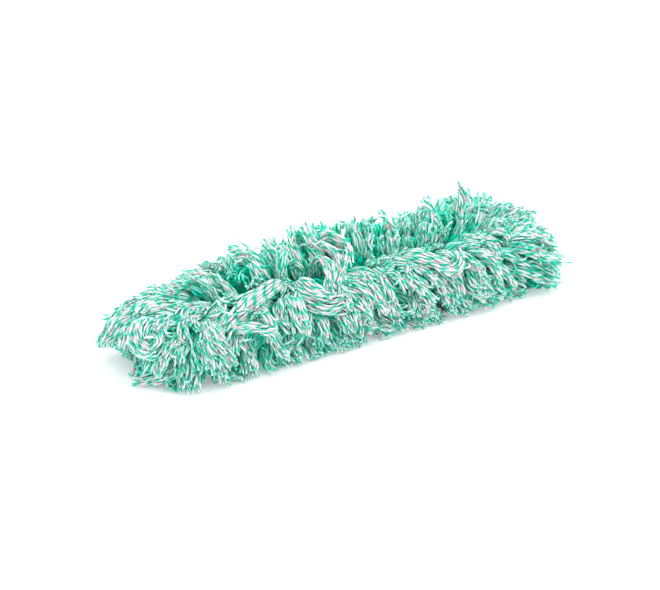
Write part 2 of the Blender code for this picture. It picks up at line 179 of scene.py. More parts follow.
@dataclass(frozen=True)
class TwistedYarnFinish:
    """Plied microfibre yarn: one green ply and two white ones, twisted together, matt and soft.

    The pattern is a function of the yarn's own UV map. U goes once round the yarn within one of
    several columns, which hold more and more painted shade: none for yarn at the outside of the
    pile, and a dark green painted shade for yarn deep in it, standing in for the light that the
    green plies pass on there. V is the length from the yarn's sewn root, with up to one pitch
    added, so that the yarns' twists don't line up, and its first part near the root gets painted
    shade as well.
    """

    green: str = "1ccba8"
    green_edge: str = "68e0c8"
    # painted shade for the crease between the two white plies
    painted_groove_shade: str = "c4ece2"
    white: str = "f4efef"
    mint: str = "e2f4ee"
    # painted shade: this dark green colour darkens deep yarn and each yarn's part near its root, over
    # root_shade from the root and from lit_share to dark_share of the columns
    painted_deep_shade: str = "0cffe2"
    pitch: float = 18.0 * MM
    full_length: float = 150.0 * MM
    root_shade: float = 58.0 * MM
    columns: int = 16
    lit_share: float = 0.08
    dark_share: float = 0.8
    looseness: float = 0.6
    ply_count: int = 3
    ply_relief: float = 0.3 * MM
    light_travel: float = 3.5 * MM
    fuzz: float = 0.3
    fuzz_tint: str = "92eedc"

    def build(self) -> bpy.types.Material:
        """Builds the material.

        Returns:
            The yarn material.
        """
        material, shader = new_material("twisted_microfibre_yarn")
        tree = material.node_tree
        uv = add_node(tree, "ShaderNodeUVMap", uv_map=UV_NAME)
        split = add_node(tree, "ShaderNodeSeparateXYZ", {0: uv})
        u, v = split.outputs["X"], split.outputs["Y"]
        across = add_node(tree, MATH, {0: u, 1: float(self.columns)}, operation="MULTIPLY")
        column = add_node(tree, MATH, {0: across}, operation="FLOOR")
        around = add_node(tree, MATH, {0: across}, operation="FRACT")
        full_turns = self.full_length / self.pitch
        turns = add_node(tree, MATH, {0: v, 1: full_turns}, operation="MULTIPLY")
        # the twist is a little loose, so its pitch wanders
        place = add_node(tree, "ShaderNodeCombineXYZ", {0: column, 1: turns})
        noise = {"Vector": place, "Scale": 0.9, "Detail": 2.0, "Roughness": 0.6}
        wander = add_node(tree, "ShaderNodeTexNoise", noise, noise_dimensions="2D")
        loose = {0: wander.outputs["Fac"], 1: self.looseness, 2: turns}
        twist = add_node(tree, MATH, loose, operation="MULTIPLY_ADD")
        turned = add_node(tree, MATH, {0: twist, 1: around}, operation="ADD")
        phase = add_node(tree, MATH, {0: turned}, operation="FRACT")
        plies = add_node(tree, "ShaderNodeValToRGB", {0: phase})
        self._lay_plies(plies.color_ramp)
        # painted shade: deep yarn, and the part of each yarn near its root, is darkened and greened in
        # its colour, standing in for the green light round it
        lit, dark = self.lit_share * self.columns, self.dark_share * self.columns
        depth = add_node(
            tree,
            "ShaderNodeMapRange",
            {"Value": column, "From Min": lit, "From Max": dark},
            interpolation_type="SMOOTHSTEP",
        )
        root_end = self.root_shade / self.full_length
        root = add_node(
            tree,
            "ShaderNodeMapRange",
            {"Value": v, "From Max": root_end, "To Min": 1.0, "To Max": 0.0},
            interpolation_type="SMOOTHSTEP",
        )
        deep = add_node(tree, MATH, {0: depth, 1: root}, operation="MAXIMUM")
        # painted shade: the plies' colours are multiplied by the dark green shade colour
        painted_shade_plies = add_node(
            tree,
            "ShaderNodeMix",
            {0: deep, 6: plies, 7: linear(self.painted_deep_shade)},
            data_type="RGBA",
            blend_type="MULTIPLY",
        )
        # the plies stand up as rounded ridges
        waves = add_node(tree, MATH, {0: phase, 1: self.ply_count * math.pi}, operation="MULTIPLY")
        ridge = add_node(tree, MATH, {0: waves}, operation="SINE")
        height = add_node(tree, MATH, {0: ridge}, operation="ABSOLUTE")
        relief = {"Strength": 0.5, "Distance": self.ply_relief, "Height": height}
        bump = add_node(tree, "ShaderNodeBump", relief)
        set_inputs(
            shader,
            {
                "Base Color": painted_shade_plies.outputs[2],
                "Normal": bump,
                "Roughness": 0.95,
                "Specular IOR Level": 0.12,
                # split fibres stand off the yarn as a fuzz, which pales its edges
                "Sheen Weight": self.fuzz,
                "Sheen Roughness": 0.45,
                "Sheen Tint": linear(self.fuzz_tint),
                # light goes through the fibres, and comes out greener
                "Subsurface Weight": 0.9,
                "Subsurface Radius": (0.38, 1.0, 0.92),
                "Subsurface Scale": self.light_travel,
            },
        )
        return material

    def _lay_plies(self, ramp: bpy.types.ColorRamp) -> None:
        """Sets the colours met once round the yarn: the green ply, then two white ones, with a painted
        shade in the crease between the white ones.
        """
        stops = (
            (0.00, self.green_edge),
            (0.03, self.green),
            (0.30, self.green),
            (0.34, self.green_edge),
            (0.38, self.mint),
            (0.42, self.white),
            (0.67, self.white),
            # painted shade in the crease between the two white plies
            (0.70, self.painted_groove_shade),
            (0.73, self.white),
            (0.93, self.white),
            (0.97, self.mint),
            (1.00, self.green_edge),
        )
        while len(ramp.elements) > 1:
            ramp.elements.remove(ramp.elements[-1])
        ramp.elements[0].position = stops[0][0]
        ramp.elements[0].color = linear(stops[0][1])
        for place, colour in stops[1:]:
            ramp.elements.new(place).color = linear(colour)


@dataclass(frozen=True)
class WovenFinish:
    """Plain-woven cloth, such as canvas, tape or elastic: threads over and under, matt.

    The threads follow the cloth's own length and width. They are drawn about six times as coarse
    as the real thread, so that they show. The gaps between them take a darker colour, a painted
    shade.
    """

    name: str
    colour: str
    shade: str
    thread: float
    roughness: float = 0.85
    sheen: float = 0.15

    def build(self) -> bpy.types.Material:
        """Builds the material.

        Returns:
            The cloth material.
        """
        material, shader = new_material(self.name)
        tree = material.node_tree
        place = add_node(tree, "ShaderNodeTexCoord").outputs["Object"]
        scale = 1.0 / self.thread / WAVE_RATE
        wave = {"Vector": place, "Scale": scale, "Distortion": 0.4, "Detail": 1.0}
        lengthwise, crosswise = (
            add_node(tree, "ShaderNodeTexWave", wave, wave_type="BANDS", bands_direction=axis)
            for axis in ("X", "Y")
        )
        both = {0: lengthwise.outputs["Fac"], 1: crosswise.outputs["Fac"]}
        weave = add_node(tree, MATH, both, operation="MULTIPLY")
        # slubs: the thread is thicker and paler here and there
        noise = {"Vector": place, "Scale": 0.2 / self.thread, "Detail": 3.0}
        slubs = add_node(tree, "ShaderNodeTexNoise", noise)
        uneven = {0: slubs.outputs["Fac"], 1: weave, 2: -0.25}
        level = add_node(tree, MATH, uneven, operation="MULTIPLY_ADD")
        blend = add_node(tree, MATH, {0: weave, 1: level}, operation="ADD", use_clamp=True)
        # painted shade: the weave's gaps get the darker shade colour, and the threads on top the
        # cloth's colour
        shades = {0: blend, 6: linear(self.shade), 7: linear(self.colour)}
        shaded_weave = add_node(tree, "ShaderNodeMix", shades, data_type="RGBA")
        relief = {"Strength": 0.5, "Distance": self.thread / 3, "Height": weave}
        bump = add_node(tree, "ShaderNodeBump", relief)
        set_inputs(
            shader,
            {
                "Base Color": shaded_weave.outputs[2],
                "Normal": bump,
                "Roughness": self.roughness,
                "Sheen Weight": self.sheen,
            },
        )
        return material


@dataclass(frozen=True)
class RowShape:
    """How one row of locks runs, in the sleeve's cross-section.

    Args:
        band: the CAD band that the row belongs to.
        root_angle: where it is sewn on the pocket, in degrees from its edge up to its top.
        points: the guide curve's three further control points, as shares (outwards, up) of the
            pile's reach to the side and of its height.
        loose: how freely its locks lie, from 0, pressed flat on the floor, to 1 or a little
            more, loose on top.
        forward: the share of its curls that tumble back towards the parting line.
    """

    band: str
    root_angle: float
    points: tuple[tuple[float, float], tuple[float, float], tuple[float, float]]
    loose: float
    forward: float = 0.0


FRONT_ROWS = (
    RowShape("crest", 86.0, ((0.16, 0.72), (0.44, 0.80), (0.66, 0.62)), 1.0),
    RowShape("crest", 74.0, ((0.26, 0.70), (0.58, 0.74), (0.79, 0.50)), 1.0),
    RowShape("crest", 60.0, ((0.38, 0.66), (0.70, 0.66), (0.86, 0.40)), 0.9),
    RowShape("shoulder", 44.0, ((0.48, 0.58), (0.80, 0.52), (0.93, 0.28)), 0.8),
    RowShape("shoulder", 26.0, ((0.54, 0.50), (0.82, 0.36), (0.94, 0.20)), 0.7),
    RowShape("skirt", -5.0, ((0.60, 0.38), (0.84, 0.16), (0.98, 0.13)), 0.5),
    RowShape("skirt", -30.0, ((0.56, 0.26), (0.76, 0.06), (0.95, 0.06)), 0.35),
    RowShape("under", -52.0, ((0.46, 0.18), (0.66, 0.02), (0.90, 0.04)), 0.2),
    RowShape("under", -68.0, ((0.28, 0.18), (0.40, 0.06), (0.60, 0.015)), 0.1),
    RowShape("under", -82.0, ((0.12, 0.18), (0.18, 0.05), (0.38, 0.015)), 0.1),
)

BACK_ROWS = (
    RowShape("crest", 86.0, ((-0.06, 0.68), (-0.08, 0.82), (0.04, 0.90)), 1.2, 0.8),
    RowShape("crest", 74.0, ((0.10, 0.70), (0.14, 0.92), (0.28, 1.00)), 1.2, 0.7),
    RowShape("crest", 60.0, ((0.24, 0.68), (0.38, 0.92), (0.54, 0.98)), 1.0, 0.5),
    RowShape("shoulder", 44.0, ((0.44, 0.64), (0.66, 0.80), (0.84, 0.80)), 0.8),
    RowShape("shoulder", 26.0, ((0.54, 0.52), (0.82, 0.58), (1.00, 0.50)), 0.7),
    RowShape("skirt", 2.0, ((0.58, 0.42), (0.88, 0.42), (1.03, 0.28)), 0.5),
    RowShape("skirt", -26.0, ((0.54, 0.28), (0.80, 0.16), (0.94, 0.10)), 0.35),
    RowShape("under", -52.0, ((0.42, 0.18), (0.60, 0.04), (0.80, 0.05)), 0.2),
    RowShape("under", -68.0, ((0.28, 0.18), (0.38, 0.06), (0.54, 0.015)), 0.1),
    RowShape("under", -82.0, ((0.12, 0.18), (0.18, 0.05), (0.34, 0.015)), 0.1),
)

TIP_ROWS = (
    RowShape("crest", 86.0, ((0.18, 0.70), (0.42, 0.84), (0.64, 0.86)), 0.5),
    RowShape("crest", 74.0, ((0.28, 0.68), (0.54, 0.80), (0.78, 0.78)), 0.5),
    RowShape("crest", 60.0, ((0.38, 0.64), (0.68, 0.72), (0.92, 0.62)), 0.5),
    RowShape("shoulder", 44.0, ((0.48, 0.58), (0.80, 0.60), (1.02, 0.46)), 0.4),
    RowShape("shoulder", 26.0, ((0.54, 0.50), (0.86, 0.48), (1.08, 0.32)), 0.4),
    RowShape("skirt", -5.0, ((0.56, 0.38), (0.86, 0.32), (1.08, 0.17)), 0.3),
    RowShape("skirt", -30.0, ((0.52, 0.28), (0.80, 0.17), (1.02, 0.06)), 0.2),
    RowShape("under", -52.0, ((0.42, 0.20), (0.60, 0.08), (0.84, 0.02)), 0.15),
    RowShape("under", -68.0, ((0.28, 0.18), (0.40, 0.05), (0.60, 0.015)), 0.1),
    RowShape("under", -82.0, ((0.12, 0.18), (0.18, 0.05), (0.36, 0.015)), 0.1),
)


@dataclass(frozen=True)
class Station:
    """How the pile lies at one place along the sleeve. Lengths are in millimetres.

    Args:
        along: the place, from the middle of the frame's X axis.
        back_rise: how far the pile stands above the pocket's middle on the back side.
        back_reach: how far it reaches out from the sleeve's middle line on the back side.
        front_rise: its rise on the front side.
        front_reach: its reach on the front side.
        front_turn: which way the front locks fall, in degrees from straight out of the sleeve
            towards the tip, or towards the mouth if below 0.
        back_turn: the same on the back side.
        low_turn: the same for the locks next to the floor.
        lean: how far the back locks lean towards the tip as they rise, as a slope.
    """

    along: float
    back_rise: float
    back_reach: float
    front_rise: float
    front_reach: float
    front_turn: float
    back_turn: float
    low_turn: float
    lean: float


STATIONS = (
    Station(-226.0, 46.0, 72.0, 33.0, 66.0, -84.0, -84.0, -106.0, -0.3),
    Station(-205.0, 48.0, 72.0, 34.0, 78.0, -78.0, -74.0, -62.0, -0.4),
    Station(-190.0, 49.0, 72.0, 35.0, 86.0, -72.0, -66.0, -16.0, -0.5),
    Station(-165.0, 52.0, 74.0, 36.0, 88.0, -64.0, -50.0, 0.0, -0.7),
    Station(-130.0, 58.0, 77.0, 36.0, 86.0, -60.0, -30.0, -6.0, -0.8),
    Station(-110.0, 66.0, 78.0, 36.0, 85.0, -58.0, -24.0, -6.0, -0.7),
    Station(-65.0, 70.0, 84.0, 36.0, 82.0, -54.0, -16.0, -4.0, -0.3),
    Station(-47.0, 71.0, 82.0, 36.0, 81.0, -5.0, -8.0, 4.0, -0.1),
    Station(-30.0, 75.0, 84.0, 36.0, 80.0, 26.0, -4.0, 8.0, 0.0),
    Station(0.0, 76.0, 88.0, 36.0, 79.0, 26.0, 2.0, 6.0, 0.1),
    Station(50.0, 66.0, 88.0, 35.0, 74.0, 22.0, 6.0, 6.0, 0.1),
    Station(90.0, 63.0, 84.0, 34.0, 74.0, 24.0, 10.0, 8.0, 0.1),
    Station(120.0, 65.0, 82.0, 34.0, 74.0, 28.0, 12.0, 10.0, 0.2),
    Station(165.0, 66.0, 86.0, 34.0, 76.0, 36.0, 24.0, 24.0, 0.35),
    Station(200.0, 62.0, 86.0, 34.0, 74.0, 42.0, 34.0, 40.0, 0.5),
)


@dataclass
class SleeveFrame:
    """The places of the sleeve that the pile is fitted to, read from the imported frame."""

    pocket_roundness: float = 3.0
    reach_share: float = 0.57
    start: float = field(init=False)
    tip_centre: float = field(init=False)
    pocket_half_width: float = field(init=False)
    pocket_half_height: float = field(init=False)
    mid_height: float = field(init=False)
    low: np.ndarray = field(init=False)
    high: np.ndarray = field(init=False)

    def __post_init__(self) -> None:
        """Reads the sizes from the CAD nodes' boxes."""
        binding_low, binding_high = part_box("front_binding")
        upper_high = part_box("upper_panel")[1]
        lower_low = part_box("lower_panel")[0]
        self.start, self.tip_centre = binding_low.x, binding_high.x
        self.mid_height = (upper_high.z + lower_low.z) / 2
        self.pocket_half_height = upper_high.z - self.mid_height
        self.pocket_half_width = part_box("mouth_elastic")[1].y
        self.low, self.high = (np.array(corner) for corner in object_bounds())

    @property
    def reach(self) -> float:
        """How far the longest yarn reaches to the side."""
        return float(self.high[1] - self.low[1]) * self.reach_share

    @property
    def tip_stretch(self) -> float:
        """How much further the pile reaches at the tip than at the sides."""
        return float(self.high[0] - self.tip_centre) / self.reach

    def root(self, angle: float) -> tuple[float, float]:
        """Where yarn is sewn on, as (outwards, up) in the cross-section.

        Args:
            angle: degrees from the pocket's edge, up to its top at 90 and down to -90.

        Returns:
            The distance from the middle line, and the height.
        """
        turn = math.radians(abs(angle))
        power = 2 / self.pocket_roundness
        out = self.pocket_half_width * math.cos(turn) ** power
        up = self.pocket_half_height * math.sin(turn) ** power
        return out, self.mid_height + math.copysign(up, angle)


@dataclass
class Lock:
    """One lock of yarns: a guide curve and the bundle of yarns that runs along it.

    Args:
        node: the CAD tuft that it belongs to.
        guide: the points that it follows, root first.
        aside: the way the lock is wide at its root.
        rise: how far it may stand above the pocket's middle, or 0 if only the box round the
            whole pile trims it.
        width: its full width.
        depth: its full thickness.
        yarns: how many yarns it has.
        flare: its width at the ends, as a share of its width.
        twist: how far it turns about its own line, in radians.
        curl: how far its free end curls, in radians.
        curl_way: which way it curls: 0 over its flat side, and a quarter turn for sideways.
        curl_start: the share of the length at which the curl starts.
    """

    node: str
    guide: np.ndarray
    aside: np.ndarray
    rise: float
    width: float
    depth: float
    yarns: int
    flare: float = 1.0
    twist: float = 0.0
    curl: float = 0.0
    curl_way: float = 0.0
    curl_start: float = 0.5


@dataclass(frozen=True)
class Tress:
    """A lock that the photograph shows plainly, at its own place. Lengths are in millimetres.

    Args:
        node: the CAD tuft that it belongs to.
        width: its full width.
        depth: its full thickness.
        yarns: how many yarns it has, before the plan's tress_fill.
        points: the points that it follows, root first.
        flare: its width at the ends, as a share of its width.
        curl: how far its free end curls, in radians.
        curl_way: which way it curls: 0 over its flat side, and a quarter turn for sideways.
    """

    node: str
    width: float
    depth: float
    yarns: int
    points: tuple[tuple[float, float, float], ...]
    flare: float = 0.8
    curl: float = 0.0
    curl_way: float = 0.0


TRESSES = (
    # the fringe that falls over the open mouth, from its back corner to its front one
    Tress("back_skirt_tuft_1", 30, 13, 30,
          ((-212, 36, 50), (-236, 48, 52), (-252, 57, 36), (-263, 60, 14))),
    Tress("back_crest_tuft_1", 32, 13, 30,
          ((-216, 22, 53), (-238, 34, 62), (-258, 42, 48), (-270, 46, 22))),
    Tress("under_tuft_1", 32, 14, 30, ((-212, 26, 34), (-226, 26, 32), (-238, 25, 20), (-246, 22, 8))),
    Tress("back_crest_tuft_1", 30, 13, 28,
          ((-218, 6, 54), (-240, 8, 61), (-257, 7, 50), (-264, 4, 31))),
    Tress("under_tuft_1", 30, 14, 32, ((-214, 2, 33), (-236, -3, 24), (-248, -9, 10), (-257, -14, 4))),
    Tress("under_tuft_1", 30, 14, 30,
          ((-200, -38, 36), (-222, -42, 24), (-240, -34, 12), (-262, -13, 6))),
    Tress("front_skirt_tuft_1", 28, 13, 28,
          ((-196, -37, 40), (-212, -54, 32), (-220, -65, 14), (-224, -72, 3))),
    Tress("front_shoulder_tuft_1", 28, 12, 26,
          ((-214, -32, 50), (-236, -43, 52), (-250, -51, 40), (-254, -52, 22))),
    Tress("back_crest_tuft_1", 24, 12, 24,
          ((-216, 16, 53), (-242, 24, 60), (-258, 30, 46), (-266, 32, 24))),
    # the round swirl at the mouth
    Tress("front_crest_tuft_1", 20, 10, 24,
          ((-218, -10, 54), (-243, -14, 73), (-260, -25, 72), (-268, -39, 62), (-261, -51, 53),
           (-247, -52, 58), (-243, -43, 66)), 1.0),
    Tress("front_crest_tuft_1", 16, 9, 18,
          ((-214, -14, 54), (-238, -19, 71), (-253, -25, 71), (-260, -35, 65), (-254, -43, 60),
           (-248, -39, 64), (-253, -33, 67)), 0.9),
    Tress("front_crest_tuft_1", 22, 10, 24,
          ((-208, -10, 54), (-222, -20, 68), (-236, -32, 68), (-246, -46, 58)), 0.8),
    # the long lock along the front ridge, and those that hang below it
    Tress("front_crest_tuft_2", 24, 10, 24,
          ((-60, -4, 53), (-74, -16, 78), (-113, -33, 77), (-153, -52, 71), (-183, -63, 60))),
    Tress("front_shoulder_tuft_2", 20, 10, 20,
          ((-68, -30, 51), (-74, -50, 70), (-80, -70, 55), (-78, -76, 36))),
    Tress("front_shoulder_tuft_1", 16, 8, 14,
          ((-160, -34, 50), (-154, -62, 62), (-137, -70, 60), (-118, -73, 51), (-116, -76, 38)), 1.0),
    Tress("front_shoulder_tuft_1", 22, 10, 20,
          ((-186, -33, 50), (-186, -58, 66), (-182, -72, 50), (-172, -77, 22))),
    # the smooth tongue that starts where the front locks part
    Tress("front_crest_tuft_3", 30, 9, 34,
          ((-46, -2, 53), (-56, -24, 74), (-56, -50, 73), (-42, -64, 65), (-20, -67, 60),
           (-6, -63, 65)), 0.7, 0.8, 1.2),
    # the leaf that falls forward over the parting line
    Tress("back_crest_tuft_4", 26, 9, 34,
          ((8, 4, 53), (2, 14, 84), (4, 12, 105), (19, -4, 93), (4, -27, 85), (-26, -52, 74)), 0.2),
    Tress("back_crest_tuft_3", 22, 9, 26,
          ((-2, 4, 53), (-8, 12, 82), (-6, 8, 99), (2, -10, 93), (-4, -31, 84), (-27, -53, 72)), 0.2),
    Tress("front_crest_tuft_3", 24, 9, 26,
          ((-14, -1, 53), (-18, -8, 84), (-15, -20, 93), (-22, -40, 83), (-36, -56, 70)), 0.4),
    Tress("front_crest_tuft_4", 18, 8, 20,
          ((88, -4, 53), (94, -24, 77), (110, -49, 74), (128, -61, 65), (143, -56, 69),
           (146, -42, 76)), 0.8),
    # small balls of curled ends along the parting line
    Tress("front_crest_tuft_4", 16, 12, 16,
          ((84, -2, 53), (82, -2, 72), (90, 2, 82), (98, 2, 76)), 1.1, 2.4, 1.6),
    Tress("back_crest_tuft_5", 18, 12, 18,
          ((130, 2, 53), (128, 4, 76), (136, 4, 88), (146, 2, 84)), 1.1, 2.4, 1.6),
    Tress("back_crest_tuft_2", 22, 11, 20,
          ((-104, 4, 53), (-107, 10, 76), (-116, 12, 90), (-128, 4, 92)), 1.0, 1.2, 1.6),
    Tress("back_crest_tuft_1", 20, 10, 18,
          ((-128, 4, 53), (-133, 10, 72), (-142, 12, 84), (-152, 5, 86)), 1.0, 1.0, 1.6),
    # the leaning locks and the spikes of the back wall
    Tress("back_crest_tuft_2", 24, 10, 22,
          ((-74, 3, 53), (-82, 6, 82), (-96, 16, 104), (-116, 30, 113))),
    Tress("back_crest_tuft_1", 24, 10, 22,
          ((-142, 2, 53), (-150, 4, 78), (-160, 10, 96), (-176, 20, 98))),
    Tress("back_crest_tuft_2", 20, 10, 18,
          ((-58, 3, 53), (-62, 6, 80), (-66, 16, 100), (-72, 30, 113))),
    Tress("back_crest_tuft_3", 20, 10, 18,
          ((-10, 3, 53), (-12, 6, 83), (-15, 15, 107), (-18, 28, 124))),
    Tress("back_crest_tuft_4", 12, 8, 11,
          ((96, 4, 53), (95, 6, 80), (90, 12, 100), (84, 28, 116)), 0.3),
    Tress("back_crest_tuft_5", 18, 9, 16,
          ((150, 4, 53), (150, 6, 80), (148, 14, 102), (146, 30, 116)), 0.5),
    Tress("back_crest_tuft_5", 20, 9, 18,
          ((188, 4, 53), (192, 10, 82), (200, 24, 104), (208, 40, 116)), 0.3),
    # the long pointed locks of the tip
    Tress("tip_crest_tuft", 26, 10, 26,
          ((204, 10, 53), (222, 16, 77), (244, 15, 86), (263, 9, 83)), 0.5),
    Tress("tip_crest_tuft", 24, 10, 24, ((208, 2, 53), (234, 6, 76), (266, 8, 78), (291, 5, 68)), 0.4),
    Tress("tip_crest_tuft", 24, 10, 24,
          ((210, -6, 53), (234, -12, 74), (256, -18, 69), (272, -20, 58)), 0.5),
    Tress("tip_crest_tuft", 24, 10, 24,
          ((212, -12, 53), (236, -24, 70), (256, -34, 64), (270, -38, 53)), 0.5),
    Tress("tip_shoulder_tuft_2", 26, 10, 26,
          ((216, -8, 50), (244, -16, 60), (268, -24, 50), (284, -28, 38)), 0.5),
    Tress("tip_shoulder_tuft_2", 26, 10, 26,
          ((216, -14, 48), (242, -30, 52), (264, -42, 40), (280, -50, 26)), 0.5),
    Tress("tip_shoulder_tuft_1", 26, 10, 26,
          ((214, -18, 52), (236, -32, 72), (260, -49, 69), (277, -58, 59)), 0.4),
    Tress("tip_shoulder_tuft_1", 24, 10, 24,
          ((212, -26, 50), (234, -46, 60), (260, -62, 50), (284, -72, 33)), 0.3),
    Tress("tip_skirt_tuft_2", 28, 11, 28,
          ((212, -24, 42), (240, -40, 42), (264, -52, 30), (282, -60, 18)), 0.7),
    Tress("tip_skirt_tuft_1", 26, 10, 24,
          ((210, -30, 40), (232, -50, 36), (256, -60, 20), (276, -65, 8)), 0.6),
    # two more locks of the back wall
    Tress("back_crest_tuft_2", 22, 10, 20, ((-34, 3, 53), (-38, 6, 80), (-41, 16, 99), (-42, 30, 114))),
    Tress("back_crest_tuft_3", 12, 8, 11,
          ((44, 4, 53), (44, 6, 82), (46, 16, 104), (47, 30, 120)), 0.3),
)


@dataclass
class YarnSizes:
    """Sizes of one yarn and of its mesh, and how it lies in its lock.

    A span gives the shares of a yarn's length between which something grows to its full amount.
    """

    radius: float = 1.32 * MM
    girth: tuple[float, float] = (0.88, 1.1)
    sides: int = 5
    rings: int = 13
    # shares of the radius: at the root, at the end, and how far each end bulges
    root_share: float = 0.6
    end_share: float = 0.92
    dome: float = 0.5
    # each column of the finish keeps this share of it clear at its two edges
    column_margin: float = 0.001
    # shares of the lock's length, and how many rings' length a trimmed yarn keeps at least
    shortest: float = 0.60
    longest: float = 1.0
    fewest_rings: float = 2.0
    # the share of the lock's width at which its yarns start, and where they spread
    gather: float = 0.4
    gather_span: tuple[float, float] = (0.0, 0.4)
    flare_span: tuple[float, float] = (0.45, 1.0)
    wobble: float = 1.1 * MM
    wobble_waves: tuple[float, float] = (1.2, 3.0)
    wobble_span: tuple[float, float] = (0.1, 0.6)
    # the usual distance by which a yarn's end strays, and the most, as so many of it
    stray: float = 1.8 * MM
    stray_limit: float = 1.5
    stray_span: tuple[float, float] = (0.35, 1.1)
    floor_lift: float = 1.5 * MM
    floor_scatter: float = 3.0 * MM
    # a few yarns curl a lot at the end and the rest a little, in radians
    curled_share: float = 0.12
    strong_curl: tuple[float, float] = (0.8, 2.6)
    mild_curl: tuple[float, float] = (0.0, 0.7)
    curl_start: float = 0.65
    curl_power: float = 1.5


@dataclass
class PilePlan:
    """How the locks are spread over the sleeve, and how much they differ from each other.

    A pair of numbers is the least and the most of a random choice, unless a comment says more.
    """

    locks_along: int = 26
    tufts_along: int = 5
    tip_tufts: int = 3
    # one for each of the tip's rows
    tip_locks: tuple[int, ...] = (8, 9, 11, 13, 13, 13, 12, 10, 7, 4)
    tip_back_share: float = 0.75
    # shares of the gap between two locks
    first_gap: float = 0.25
    row_stagger: float = 0.5
    jitter: float = 0.3
    mouth_crowding: float = 1.12
    mouth_evening: float = 0.9
    mouth_span: float = 100.0 * MM
    mouth_reach: float = 78.0 * MM
    mouth_low_reach: float = 56.0 * MM
    # front, back: what the rows' shapes are drawn for, in millimetres
    usual_rise: tuple[float, float] = (36.0, 68.0)
    usual_reach: tuple[float, float] = (82.0, 86.0)
    # how far locks sway along the sleeve: degrees, wave length, shift from row to row
    sways: tuple[tuple[float, float, float], ...] = (
        (9.0, 131.0 * MM, 0.8),
        (9.0, 73.0 * MM, 1.9),
    )
    side_shift: float = 2.1
    turn_power: float = 0.7
    # of locks pressed flat, of loose ones: how far they turn from their way, in degrees
    turn_spread: tuple[float, float] = (8.0, 24.0)
    # how much of its length a loose lock may lose, and the length it starts from
    length_spread: tuple[float, float] = (0.30, 1.06)
    cut_power: float = 1.5
    ragged: float = 0.12
    lift_spread: float = 7.0 * MM
    lift_bend: tuple[float, float, float, float] = (0.0, 0.1, 0.7, 1.0)
    curled_share: float = 0.5
    strong_curl: tuple[float, float] = (0.9, 2.1)
    mild_curl: tuple[float, float] = (0.0, 0.9)
    curl_start: tuple[float, float] = (0.35, 0.6)
    curl_power: float = 1.4
    tumble_focus: float = 5.0
    twist_spread: float = 0.6
    twist_power: float = 1.2
    width: tuple[float, float] = (12.0 * MM, 20.0 * MM)
    depth: tuple[float, float] = (8.0 * MM, 13.0 * MM)
    # from 17 to 22
    yarns: tuple[int, int] = (17, 23)
    tress_fill: float = 1.25
    flare: tuple[float, float] = (0.45, 1.2)
    tip_point: float = 0.5
    # the form that the pile is trimmed to, with the shares by which a yarn may pass it
    proud: tuple[float, float] = (-0.06, 0.05)
    pile_roundness: int = 3
    mouth_proud: float = 7.0 * MM
    tip_proud: float = 6.0 * MM
    tip_roundness: float = 2.6
    box_share: float = 0.03
    box_proud: float = 8.0 * MM
    floor_taper: float = 0.12
    # depth is measured from the outermost yarns of each cell: its length, and two angles in degrees
    cell_length: float = 18.0 * MM
    cell_round: float = 15.0
    cell_up: float = 10.0
    surface_spread: float = 1.4
    # the depth at which a yarn gets the last column, the fullest painted shade, and the random shift of
    # its column
    deepest: float = 26.0 * MM
    column_scatter: tuple[float, float] = (-1.0, 1.5)


